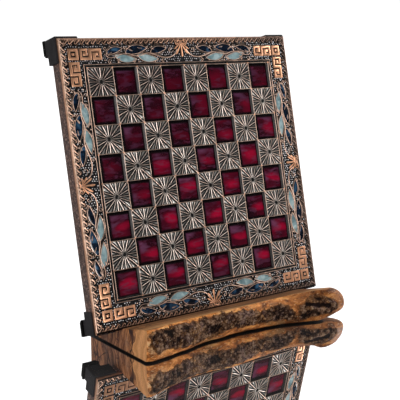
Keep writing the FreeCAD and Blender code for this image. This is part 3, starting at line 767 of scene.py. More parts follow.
wave = Build()
for k in range(4):
    at = side_map(k)
    E = edge_dist(k)
    half_len = W2 if k in (0, 2) else PLATE_H / 2
    mid = 0.0 if k in (0, 2) else (PLATE_H / 2 - FIELD_V) * (1 if k == 1 else -1)
    n = 45
    pitch = (2 * half_len - 7.0) / n
    slim = 0.78 if k == 1 else 1.0
    for m in range(n):
        s0 = mid - half_len + 3.5 + m * pitch
        q = rng.uniform(-1, 1, 6)

        def pt(x, e):
            return (s0 + 0.82 * x + 0.12 * q[0], E - 0.35 - 0.93 * e)
        big = smooth_line([pt(-1.3, 1.7), pt(0.3, 2.6), pt(1.8, 4.1 + 0.2 * q[1]), pt(3.4, 5.5 + 0.25 * q[2]), pt(4.9, 5.3), pt(5.2, 4.2), pt(4.3, 3.9)], 0.35)
        ridge(wave, at(big), np.interp(np.linspace(0, 1, len(big)), [0, 0.25, 0.6, 0.85, 1], [2.5, 2.0, 1.25, 0.85, 0.6]) * (1 + 0.10 * q[3]) * slim, -0.06 + 0.06 * q[4], pad=0.1)
        small = smooth_line([pt(2.6, 1.6), pt(3.6, 2.5), pt(5.0, 2.9 + 0.2 * q[2]), pt(5.7, 2.3)], 0.4)
        ridge(wave, at(small), taper(len(small), 1.3 * slim, 0.85 * slim, 0.5, 0.4), -0.12 + 0.05 * q[5], pad=0.1)
        tip = smooth_line([pt(1.0, 5.7), pt(1.9, 6.5 + 0.2 * q[5]), pt(3.1, 6.9), pt(4.0, 6.7)], 0.4)
        ridge(wave, at(tip), taper(len(tip), 0.5, 0.75, 0.4, 0.5), -0.22 + 0.05 * q[0], pad=0.1)
wave.make("running_wave_rim", rim_copper, slot="copper_relief")

# ------------------------------------------------------------------ relief: Greek key corners
def offset_path(p, d):
    """Left offset of an open path with mitred corners."""
    p = np.asarray(p, float)
    t = np.diff(p, axis=0)
    t /= np.linalg.norm(t, axis=1)[:, None]
    nrm = np.stack([-t[:, 1], t[:, 0]], 1)
    out = [p[0] + nrm[0] * d]
    for a, b, c in zip(nrm[:-1], nrm[1:], p[1:-1]):
        m = a + b
        out.append(c + m / (m @ a) * d)
    out.append(p[-1] + nrm[-1] * d)
    return out


def fret(length, height, grooves, w=0.62):
    """Outline of a bar with engraved paths that enter from its long sides, counterclockwise."""
    loop = [(0, 0)]
    low = sorted([g for g in grooves if g[0][1] == 0], key=lambda g: g[0][0])
    high = sorted([g for g in grooves if g[0][1] != 0], key=lambda g: -g[0][0])
    for g in low:
        loop += [tuple(q) for q in offset_path(g, w)] + [tuple(q) for q in offset_path(g, -w)][::-1]
    loop += [(length, 0), (length, height)]
    for g in high:
        loop += [tuple(q) for q in offset_path(g, w)] + [tuple(q) for q in offset_path(g, -w)][::-1]
    loop += [(0, height)]
    return np.array(loop, float)


ARM_A = fret(23.4, 11.0, [[(8.75, 11.0), (8.75, 3.35), (2.8, 3.35), (2.8, 8.05), (6.2, 8.05)], [(13.05, 0), (13.05, 7.55), (19.95, 7.55), (19.95, 3.25), (16.9, 3.25)]])
ARM_B = fret(23.4, 11.0, [[(10.15, 0), (10.15, 7.55), (3.3, 7.55), (3.3, 3.3), (6.1, 3.3)], [(14.05, 11.0), (14.05, 3.2), (21.0, 3.2), (21.0, 7.85), (18.0, 7.85)]])
keys = Build()


def rect_loop(cx, cy, h):
    return np.array([(cx - h, cy - h), (cx + h, cy - h), (cx + h, cy + h), (cx - h, cy + h)], float)


def orient(loop):
    a = np.asarray(loop)
    area = (a[:, 0] * np.roll(a[:, 1], -1) - a[:, 1] * np.roll(a[:, 0], -1)).sum()
    return a if area > 0 else a[::-1]


for k in range(4):
    c, s = [(1, 0), (0, 1), (-1, 0), (0, -1)][k]

    def turn(p, c=c, s=s):
        p = np.asarray(p, float)
        return np.stack([c * p[:, 0] - s * p[:, 1], s * p[:, 0] + c * p[:, 1] + FIELD_V], 1)
    R = 124.5
    for half in (1.3,):
        plaque(keys, turn(rect_loop(-R, R, half)), 0.0, GROUND)
    outer, inner = rect_loop(-R, R, 5.45), rect_loop(-R, R, 2.75)
    for a, b, ia, ib in [(outer, inner, 0, 1)]:
        rings = [(inset_loop(a, -0.12), GROUND), (a, -0.28), (inset_loop(a, 0.08), -0.08), (inset_loop(a, 0.28), 0.0),
                 (inset_loop(b, -0.28), 0.0), (inset_loop(b, -0.08), -0.08), (b, -0.28), (inset_loop(b, 0.1), GROUND)]
        v = np.concatenate([np.column_stack([turn(r), np.full(4, z)]) for r, z in rings])
        keys.add(v, grid_faces(len(rings), 4, wrap_b=True))
    # arm along the top, running right; arm down the left side
    a = ARM_A + (-R + 5.45 + 1.75, HALF + 7.35)
    plaque(keys, orient(turn(a)), 0.0, GROUND)
    b = np.stack([-(HALF + 7.35) - ARM_B[:, 1], R - 5.45 - 1.75 - ARM_B[:, 0]], 1)
    plaque(keys, orient(turn(b)), 0.0, GROUND)
    for x0, x1, y0, y1 in [(-R - 5.45, -R + 5.45, R - 5.45, R + 5.45), (-R + 7.2, -R + 30.6, HALF + 7.35, HALF + 18.35), (-HALF - 18.35, -HALF - 7.35, R - 30.6, R - 7.2)]:
        for x in np.arange(x0, x1 + 0.4, 0.8):
            for y in np.arange(y0, y1 + 0.4, 0.8):
                q = turn([(x, y)])[0]
                STAMPS.append((q[0], q[1], 0.45))
keys.make("greek_key_corners", copper_bright, slot="copper_relief", sharp=28)

# ------------------------------------------------------------------ relief: leaf garland and palmettes
LEAVES = [(79.5, 15.4, 19.5, 6.2, -15.0, "blue"), (67.2, 9.0, 25.5, 7.8, 10.0, "teal"), (54.5, 15.9, 26.0, 8.6, -9.0, "blue"),
          (41.8, 9.0, 25.0, 7.8, 10.0, "teal"), (28.6, 15.4, 20.0, 6.6, -11.0, "blue")]


def lens_xy(length, width, n=30, bend=0.0):
    """Half outlines of a leaf along x: upper and lower edge."""
    x = np.linspace(-1, 1, n)
    w = (1 - x ** 2) ** 0.85 * (1 + 0.18 * x)
    return x * length / 2, w * width / 2, bend * (1 - x ** 2)


blue_l, teal_l, garland, veins, leafbed = Build(), Build(), Build(), Build(), Build()
for k in range(4):
    at0 = side_map(k)
    for half in (1, -1):
        def at(p, half=half, at0=at0):
            p = np.array(p, float)
            p[..., 0] *= half
            return at0(p)
        for li, (s, t, L, Wd, angd, colr) in enumerate(LEAVES):
            a = math.radians(angd)
            ca, sa = math.cos(a), math.sin(a)
            x, w, bnd = lens_xy(L, Wd, 30, 1.0 if colr == "blue" else -1.1)

            def put(px, py, ca=ca, sa=sa, s=s, t=t, at=at):
                return at(np.stack([s + px * ca - py * sa, t + px * sa + py * ca], -1))
            # domed enamel
            rows = []
            for f in (-1, -0.86, -0.6, -0.3, 0, 0.3, 0.6, 0.86, 1):
                q = put(x, bnd + f * w * 0.93)
                z = -0.86 + 0.36 * (1 - f ** 2) ** 0.6 * np.clip((1 - (x / (L / 2)) ** 2) * 2.2, 0, 1) ** 0.5
                rows.append(np.column_stack([q, z]))
            v = np.stack(rows)
            fc = grid_faces(9, 30)
            (blue_l if colr == "blue" else teal_l).add(v, fc if half * 1 > 0 else flip(fc))
            # copper rim round the leaf, drawn out into a tip at both ends
            up, lo = np.stack([x, bnd + w], 1), np.stack([x, bnd - w], 1)
            loop = np.concatenate([up, lo[::-1][1:-1]])
            pl = smooth_line(loop[::2], 0.55, closed=True)
            ridge(garland, put(pl[:, 0], pl[:, 1]), 0.72, -0.08, closed=True, pad=0.6)
            for f in np.linspace(-1, 1, 11):
                for xx, ww, bb in zip(x[::2], w[::2], bnd[::2]):
                    q = put(np.array([xx]), np.array([bb + f * ww]))[0]
                    STAMPS.append((q[0], q[1], 0.9))
            # outer contour lines that follow the leaf, as drawn relief lines
            for off, w0, tp in ((1.35, 0.5, -0.25), (2.2, 0.38, -0.45)):
                for sg in (1, -1):
                    if (colr == "teal") == (sg > 0) and off > 2:
                        continue
                    xx = np.linspace(-0.38 * L, 0.40 * L, 26)
                    yy = np.interp(xx, x, bnd) + sg * (np.interp(xx, x, w) + off)
                    ridge(garland, put(xx, yy), taper(26, 0.2, w0, 0.15), tp, pad=0.15)
        # main stem, tendrils and berries
        stem = smooth_line([(5.5, 16.5), (9, 11.5), (15, 8.6), (23, 8.4), (31, 10.6), (40, 13.0), (48, 11.2), (56, 10.4), (63.5, 12.6), (71, 12.2), (79, 9.6),
                            (86, 9.2), (90.5, 12.6)], 0.6)
        ridge(garland, at(stem), taper(len(stem), 1.5, 1.1, 0.7), -0.10, pad=0.25)
        for c0, r0, a0, a1 in [((13.5, 16.3), 3.4, 200, 560), ((24.0, 4.8), 2.2, 150, -200), ((57.5, 5.2), 1.9, 150, -190), ((41.3, 18.6), 2.0, 210, 540),
                               ((66.8, 18.8), 1.9, 200, 540), ((85.5, 4.9), 2.3, 120, -220), ((89.0, 18.3), 2.3, 190, 540)]:
            th = np.radians(np.linspace(a0, a1, 30))
            rr = np.linspace(r0, 0.55, 30)
            sp = np.stack([c0[0] + rr * np.cos(th), c0[1] + rr * np.sin(th)], 1)
            ridge(garland, at(sp), taper(30, 0.5, 0.75, 0.95, 0.4), -0.14, pad=0.15)
        for c0, r0 in [((19.0, 18.6), 0.95), ((20.8, 20.3), 0.8), ((33.5, 4.6), 0.9), ((36.0, 19.4), 0.85), ((52.6, 4.3), 0.85), ((62.0, 20.2), 0.85), ((76.0, 4.6), 0.9),
                       ((90.8, 6.8), 0.8)]:
            q = at(np.array(c0))
            th = np.linspace(0, 2 * math.pi, 12, endpoint=False)
            rings = [(r0, GROUND), (r0 * 0.95, -0.5), (r0 * 0.65, -0.2), (r0 * 0.3, -0.1)]
            v = np.concatenate([np.stack([q[0] + r * np.cos(th), q[1] + r * np.sin(th), np.full(12, z)], 1) for r, z in rings] + [[[q[0], q[1], -0.08]]])
            garland.add(v, [grid_faces(4, 12, wrap_b=True), np.stack([36 + np.arange(12), 36 + (np.arange(12) + 1) % 12, np.full(12, 48)], 1)])
            STAMPS.append((q[0], q[1], r0 + 0.5))
        # plain small leaves of metal along the stem
        for s, t, L, Wd, angd in [(35.8, 16.0 + 1.8, 6.0, 2.0, 25), (61.0, 16.4, 5.5, 2.0, 30),
                                  (84.5, 6.6 + 6.2, 6.0, 2.2, -32), (88.0, 15.0, 5.5, 2.0, 60), (75.5, 7.0, 5.5, 1.8, -28), (50.0, 5.6 + 12.5, 5.5, 1.8, 8)]:
            a = math.radians(angd)
            xx = np.linspace(-L / 2, L / 2, 12)
            q = at(np.stack([s + xx * math.cos(a), t + xx * math.sin(a)], 1))
            wd = Wd * (1 - (2 * xx / L) ** 2) ** 0.7 + 0.12
            ridge(garland, q, wd, -0.18, profile=[(-1, 0), (-0.8, 0.55), (-0.35, 0.95), (0, 0.72), (0.35, 0.95), (0.8, 0.55), (1, 0)], pad=0.5)
    # palmette in the middle of the side, pointing at the field
    E = edge_dist(k)
    base = E - 5.5
    for angd, L, w1 in [(0, 13.6, 2.7), (27, 11.6, 2.4), (-27, 11.6, 2.4), (54, 8.6, 2.1), (-54, 8.6, 2.1), (82, 6.0, 1.8), (-82, 6.0, 1.8)]:
        a = math.radians(angd)
        L = L * (base - 5.0) / 16.5
        xx = np.linspace(0.08, 1, 14)
        cx = L * np.sin(a * (1 + 0.25 * xx)) * xx
        cy = base - L * np.cos(a * (1 - 0.15 * xx)) * xx
        q = at0(np.stack([cx, cy], 1))
        wd = w1 * np.interp(xx, [0, 0.55, 0.82, 0.95, 1.0], [0.32, 0.72, 1.0, 0.72, 0.3])
        ridge(veins, q, wd, -0.02, profile=[(-1, 0), (-0.85, 0.7), (-0.55, 1.0), (0, 0.86), (0.55, 1.0), (0.85, 0.7), (1, 0)], base=GROUND, pad=0.6)
    for sg in (1, -1):
        th = np.radians(np.linspace(-80, 250, 26))
        rr = np.linspace(2.7, 0.6, 26)
        sp = np.stack([sg * (4.9 + rr * np.cos(th)), base + 1.1 + rr * np.sin(th)], 1)
        ridge(veins, at0(sp), taper(26, 0.7, 0.95, 1.1, 0.4), -0.05, pad=0.5)
    foot = np.stack([np.linspace(-3.8, 3.8, 14), base + 1.5 + 1.2 * np.linspace(-1, 1, 14) ** 2], 1)
    ridge(veins, at0(foot), taper(14, 0.8, 2.4, 0.8), -0.03, pad=0.4)
garland.make("garland_lines", copper_line, slot="copper_relief")
veins.make("palmettes_and_veins", copper_bright, slot="copper_relief")
blue_l.make("blue_enamel_fills", blue_enamel, slot="blue_enamel", replaces=("blue_enamel_leaves",))
teal_l.make("teal_enamel_fills", teal_enamel, slot="teal_enamel", replaces=("teal_enamel_leaves",))

# ------------------------------------------------------------------ relief: stippling
cell = 0.25
nx, ny = int(2 * W2 / cell) + 1, int(PLATE_H / cell) + 1
taken = np.zeros((nx, ny), bool)
for x, y, r in STAMPS:
    i0, i1 = int((x - r + W2) / cell), int((x + r + W2) / cell) + 1
    j0, j1 = int((y - r) / cell), int((y + r) / cell) + 1
    i0, j0, i1, j1 = max(i0, 0), max(j0, 0), min(i1, nx), min(j1, ny)
    if i0 >= i1 or j0 >= j1:
        continue
    gi = (np.arange(i0, i1) * cell - W2 - x) ** 2
    gj = (np.arange(j0, j1) * cell - y) ** 2
    taken[i0:i1, j0:j1] |= gi[:, None] + gj[None] < r * r
pts = []
row = 0
v_ = 4.2
while v_ < PLATE_H - 4.2:
    for u_ in np.arange(-W2 + 4.2 + (1.3 if row % 2 else 0), W2 - 4.2, 2.6):
        x, y = u_ + rng.uniform(-0.45, 0.45), v_ + rng.uniform(-0.42, 0.42)
        if abs(x) < HALF + 4.3 and abs(y - FIELD_V) < HALF + 4.3:
            continue
        if taken[int((x + W2) / cell), int(y / cell)]:
            continue
        pts.append((x, y, rng.uniform(0.58, 0.86), rng.uniform(-0.08, 0.14)))
    row += 1
    v_ += 2.25
pts = np.array(pts)
th = np.linspace(0, 2 * math.pi, 8, endpoint=False)
dome = [(1.0, GROUND - 0.05), (0.93, -0.66), (0.66, -0.44), (0.28, -0.33)]
zone = (np.abs(pts[:, 1] - FIELD_V) > HALF).astype(int) + 2 * (pts[:, 0] > 0)
for zi, nm in enumerate(("left", "lower_and_upper_left", "right", "lower_and_upper_right")):
    q = pts[zone == zi]
    n = len(q)
    ring_v = [np.stack([q[:, None, 0] + q[:, None, 2] * r * np.cos(th), q[:, None, 1] + q[:, None, 2] * r * np.sin(th),
                        np.broadcast_to(z + q[:, None, 3], (n, 8))], -1) for r, z in dome]
    apex = np.stack([q[:, 0], q[:, 1], -0.30 + q[:, 3]], -1)[:, None]
    v = np.concatenate(ring_v + [apex], 1)
    one = np.concatenate([grid_faces(4, 8, wrap_b=True)])
    tri = np.stack([24 + np.arange(8), 24 + (np.arange(8) + 1) % 8, np.full(8, 32)], 1)
    off = (np.arange(n) * 33)[:, None, None]
    b = Build()
    b.add(v, [(one[None] + off).reshape(-1, 4), (tri[None] + off).reshape(-1, 3)])
    b.make("stippling_" + nm, antique_silver, slot="copper_relief")
print("stipple dots", len(pts))

# ------------------------------------------------------------------ board body: wrap, felt, feet
for k, nm in enumerate(("bottom", "right", "top", "left")):
    wrap = Build()
    frame_sweep(wrap, [(1.0, -4.05), (0.45, -4.22), (0.16, -4.34), (0.03, -4.6), (0.0, -5.1), (0.0, -8.0), (0.0, -12.0), (0.0, -16.0), (0.08, -16.6), (0.3, -17.0), (0.7, -17.19),
                       (1.4, -17.22), (6.5, -17.24), (8.4, -17.2), (8.7, -17.05)], step=2.5, sides=(k,),
                wobble=lambda v, kk: v + np.stack([np.zeros(v.shape[:2])] * 2 + [0.05 * noise3(v, 9.0, 71 + kk) * (v[..., 2] < -16.5)], -1))
    wrap.make("leatherette_" + nm, leather, slot="leatherette", sharp=55, replaces=("edge_band_" + nm,))
back = Build()
bu = np.linspace(-W2 + 8.2, W2 - 8.2, 70)
bv = np.linspace(8.2, PLATE_H - 8.2, 70)
B1, B2 = np.meshgrid(bu, bv, indexing="ij")
p3 = np.stack([B1, B2, np.zeros_like(B1)], -1)
edge_d = np.minimum(np.minimum(B1 + W2, W2 - B1), np.minimum(B2, PLATE_H - B2)) - 8.2
back.add(np.stack([B1, B2, -17.02 - 0.10 * np.clip(edge_d / 3, 0, 1) - 0.05 * noise3(p3, 14.0, 81)], -1), grid_faces(70, 70))
back.make("felt_backing", felt, slot="backing_felt", replaces=("backing_sheet",))


def dress(node, mat, bevel=0.0, seg=2):
    o = NODES[node]
    o.data.materials.clear()
    o.data.materials.append(mat)
    if bevel:
        w = o.modifiers.new("weld", "WELD")
        w.merge_threshold = 0.00002
        b = o.modifiers.new("bevel", "BEVEL")
        b.width = bevel / 1000
        b.segments = seg
        b.limit_method = "ANGLE"
        b.angle_limit = math.radians(35)
        b.harden_normals = False


for c in ("top_left", "top_right", "bottom_left", "bottom_right"):
    dress("corner_foot_" + c, foot_plastic, 0.35, 3)
    if c.startswith("top"):
        # the upper feet stand a little prouder of the edge
        swell = NODES["corner_foot_" + c].modifiers.new("proud", "DISPLACE")
        swell.mid_level = 0.0
        swell.strength = 0.0012
    dress("foot_pad_" + c, pad_rubber, 0.45, 3)
dress("foot_screws", steel)
dress("board_core", panel)

# ------------------------------------------------------------------ stand
FRONT = [
    (-109.4, 38.8, 40.9, 41.9, 41.6), (-106.5, 39.6, 42.6, 43.4, 42.0), (-103.1, 40.2, 43.4, 44.2, 41.6),
    (-96.1, 40.0, 44.0, 44.2, 40.0), (-86.3, 38.9, 43.2, 42.8, 37.0), (-72.1, 35.4, 40.8, 40.6, 34.0),
    (-59.3, 34.4, 38.9, 38.1, 31.4), (-43.6, 29.4, 35.6, 35.8, 29.8), (-29.4, 26.7, 33.6, 34.6, 30.0),
    (-16.9, 26.9, 33.2, 34.9, 31.0), (-3.1, 25.4, 32.3, 34.7, 31.8), (10.1, 24.9, 31.4, 34.2, 31.4),
    (22.8, 25.6, 31.5, 33.4, 30.0), (34.9, 27.4, 32.2, 33.1, 28.6), (48.2, 28.6, 33.0, 33.5, 27.6),
    (60.7, 30.9, 34.9, 34.3, 26.4), (72.0, 34.6, 37.3, 35.6, 25.8), (82.7, 38.0, 40.2, 37.9, 26.8),
    (93.4, 41.6, 43.2, 40.9, 28.8), (103.1, 45.0, 46.0, 43.7, 31.6)]
NOSE = {
    0.0: [(105, -44.4), (107.4, -42.4), (109.0, -38), (109.4, -31), (107.4, -17), (103.5, 0), (98, 15), (91, 36)],
    2.5: [(110, -46.2), (117, -45.8), (124.4, -42.2), (126.6, -35.0), (121.4, -21), (109.6, 0), (101.5, 15), (93.7, 36)],
    6.0: [(112.6, -47.3), (124.4, -47.1), (134.6, -43.5), (138.6, -35.6), (131.2, -21), (112.2, 0), (103.4, 15), (95, 36)],
    12.0: [(114, -47.8), (126, -47.4), (137.4, -43.0), (141.6, -35.0), (133.8, -20.5), (113, 0), (104.5, 15), (96, 36)],
    20.0: [(114, -46.8), (125.4, -46.7), (135.6, -42.7), (139.4, -35.0), (130.6, -20.5), (111.8, 0), (104, 15), (95, 36)],
    27.0: [(112, -43.2), (121.4, -44.6), (129.2, -41.9), (132.0, -35.0), (124.0, -22), (110.4, 0), (102.5, 15), (94, 36)],
    33.0: [(108, -38.5), (115.5, -41.0), (121.6, -40.0), (123.6, -34.5), (117.2, -20), (108, 0), (101, 15), (92, 36)],
    46.0: [(104, -30.0), (109, -33.0), (113.0, -33.0), (114.4, -29.0), (110, -17), (105, 0), (99, 15), (90, 36)]}
BACK_RIGHT = {0.0: 84, 2.5: 85.5, 6.0: 86.5, 12.0: 87.5, 20.0: 87, 27.0: 86, 33.0: 84.5, 46.0: 82}
LEVELS = sorted(NOSE)
LEFT_X, BACK_Y, TOP_Z = -109.4, 60.5, 45.0
LIP, GF, GB, GU = 1.0, 0.30, 0.12, 0.03
BT = 17.2


def front_y(row, z):
    x, b, m, u, t = row
    zt = SEAT_Z + LIP * COS + SIN / COS * t
    ks = [(0, b), (3, b + 0.6 * (m - b)), (8, b + 0.92 * (m - b)), (13, m), (21, u), (zt, t), (zt + 8, t - 7), (60, t - 12)]
    return -np.interp(z, [k[0] for k in ks], [k[1] for k in ks])


def smooth_z(fn, z, sig=1.3):
    w = np.array([0.06, 0.24, 0.4, 0.24, 0.06])
    return sum(a * fn(np.clip(z + d, 0, 60)) for a, d in zip(w, np.array([-2, -1, 0, 1, 2]) * sig))


def stand_outline(z):
    """Points of the live edge at height z, in millimetres, y before the shift: front, nose and slanting right side."""
    pts = [(row[0], float(smooth_z(lambda q, row=row: front_y(row, q), z))) for row in FRONT]
    pts[0] = (LEFT_X, pts[0][1])
    lv = np.array(LEVELS)
    nose = np.array([NOSE[l] for l in LEVELS], float)
    for k in range(nose.shape[1]):
        pts.append((np.interp(z, lv, nose[:, k, 0]), np.interp(z, lv, nose[:, k, 1])))
    pts.append((np.interp(z, lv, [BACK_RIGHT[l] for l in LEVELS]), BACK_Y))
    return np.array(pts)


def catmull(points, per):
    p = np.asarray(points, float)
    out = []
    for k in range(len(p) - 1):
        a = p[k - 1] if k else 2 * p[0] - p[1]
        b, c = p[k], p[k + 1]
        d = p[k + 2] if k + 2 < len(p) else 2 * p[-1] - p[-2]
        t = np.linspace(0, 1, per[k] if hasattr(per, "__len__") else per, endpoint=False)[:, None]
        # tangents scaled by spacing, so that uneven stations don't overshoot
        lb, lab, lcd = np.linalg.norm(c - b), np.linalg.norm(b - a), np.linalg.norm(d - c)
        m0 = ((c - b) / lb * lab + (b - a) / lab * lb) / (lab + lb) * lb
        m1 = ((d - c) / lcd * lb + (c - b) / lb * lcd) / (lb + lcd) * lb
        out.append((2 * t ** 3 - 3 * t ** 2 + 1) * b + (t ** 3 - 2 * t ** 2 + t) * m0 + (-2 * t ** 3 + 3 * t ** 2) * c + (t ** 3 - t ** 2) * m1)
    return np.concatenate(out + [p[-1:]])


ZS = np.concatenate([[0, 0.15, 0.4, 0.8, 1.3, 2.0], np.arange(2.8, 46.1, 0.9)])
base_pts = stand_outline(12.0)
seg_len = np.linalg.norm(np.diff(base_pts, axis=0), axis=1)
PER = np.maximum(3, np.round(seg_len / 0.95).astype(int))
wall = np.stack([catmull(stand_outline(z), PER) for z in ZS])           # z rows, s columns
wall[..., 0] += 3.0 * np.clip((wall[..., 0] - 98) / 36, 0, 1) ** 1.5
# smooth the nose between its levels
for _ in range(6):
    inner = wall[1:-1] * 0.5 + (wall[:-2] + wall[2:]) * 0.25
    blend = np.clip((wall[1:-1, :, 0] - 95) / 12, 0, 1)[..., None] * (ZS[1:-1] > 2)[:, None, None]
    wall[1:-1] = wall[1:-1] * (1 - blend) + inner * blend
tan = np.gradient(wall, axis=1)
tan /= np.linalg.norm(tan, axis=2)[..., None]
OUT = np.stack([tan[..., 1], -tan[..., 0]], -1)                          # outward, as the front runs left to right
WZ = np.broadcast_to(ZS[:, None], wall.shape[:2])


def top_distance(x, y, z):
    """Distance below the sawn top surfaces, negative above them."""
    dy, dz = y, z - SEAT_Z
    v = dy * SIN + dz * COS
    n = -dy * COS + dz * SIN
    front = LIP - v
    groove = -GU - v
    backd = np.minimum(TOP_Z - z, -(BT + GB) - n)
    return np.where(n > GF, front, np.where(n > -(BT + GB), groove, backd))


P3 = np.stack([wall[..., 0], wall[..., 1], WZ], -1)
live = np.clip((wall[..., 0] - LEFT_X) / 2.5, 0, 1) * np.clip((BACK_Y - wall[..., 1]) / 4, 0, 1)
P3s = P3 * np.array([0.16, 0.16, 1.0])
swell = (0.42 * noise3(P3, 13.0, 91) + 0.16 * noise3(P3, 4.5, 92) + 0.05 * noise3(P3, 1.6, 93) + 0.22 * noise3(P3s, 2.6, 94)) * live
d = top_distance(wall[..., 0], wall[..., 1], WZ)
r = 1.7 + 3.6 * np.clip((wall[..., 0] - 104) / 20, 0, 1)
cut_in = r - np.sqrt(np.maximum(r * r - (r - np.clip(d, 0, r)) ** 2, 0))
rb = 1.0
foot_in = rb - np.sqrt(np.maximum(rb * rb - (rb - np.clip(WZ, 0, rb)) ** 2, 0))
wall = wall + OUT * (swell - cut_in - 0.8 * foot_in)[..., None]
wall[:, 0, 0] = LEFT_X
ns = wall.shape[1]

# close the outline: rounded corners at the sawn faces
rows = []
for i, z in enumerate(ZS):
    w_ = wall[i]
    pts_ = list(map(tuple, w_))
    x1 = w_[-1, 0]
    c = 0.7
    back_pts = [(x1 - c * (1 - math.cos(a)) - 0.02, BACK_Y + c * math.sin(a) - c) for a in np.radians([20, 45, 70, 90])]
    pts_[-1] = (x1, BACK_Y - c)
    pts_ += back_pts
    pts_ += [(x, BACK_Y) for x in np.linspace(x1 - 4, LEFT_X + 4, 40)]
    pts_ += [(LEFT_X + c - c * math.sin(a), BACK_Y - c + c * math.cos(a)) for a in np.radians([0, 25, 50, 75, 90])]
    y0_ = w_[0, 1]
    pts_ += [(LEFT_X, y) for y in np.linspace(BACK_Y - 3, y0_ + 3, 44)]
    # small round between the sawn end and the live front
    p1 = w_[1]
    pts_[0] = (LEFT_X + 0.35, y0_ + 0.02)
    pts_ += [(LEFT_X, y0_ + 0.75), (LEFT_X + 0.10, y0_ + 0.28)]
    rows.append(np.array(pts_))
rows = np.stack(rows)
nz, npt = rows.shape[:2]
v = np.zeros((nz, npt, 3))
v[..., :2] = rows
v[..., 1] += Y0
v[..., 2] = ZS[:, None]
# the left end is sawn slightly out of square, longer at the back
v[..., 0] -= 3.9 * np.clip((v[..., 1] - Y0 + 38) / 97, 0, 1) * np.clip((LEFT_X + 26 - v[..., 0]) / 26, 0, 1)
stand = Build()
stand.add(v.reshape(-1, 3), [grid_faces(nz, npt, wrap_b=True), np.arange(npt)[::-1][None], (np.arange(npt) + (nz - 1) * npt)[None]])


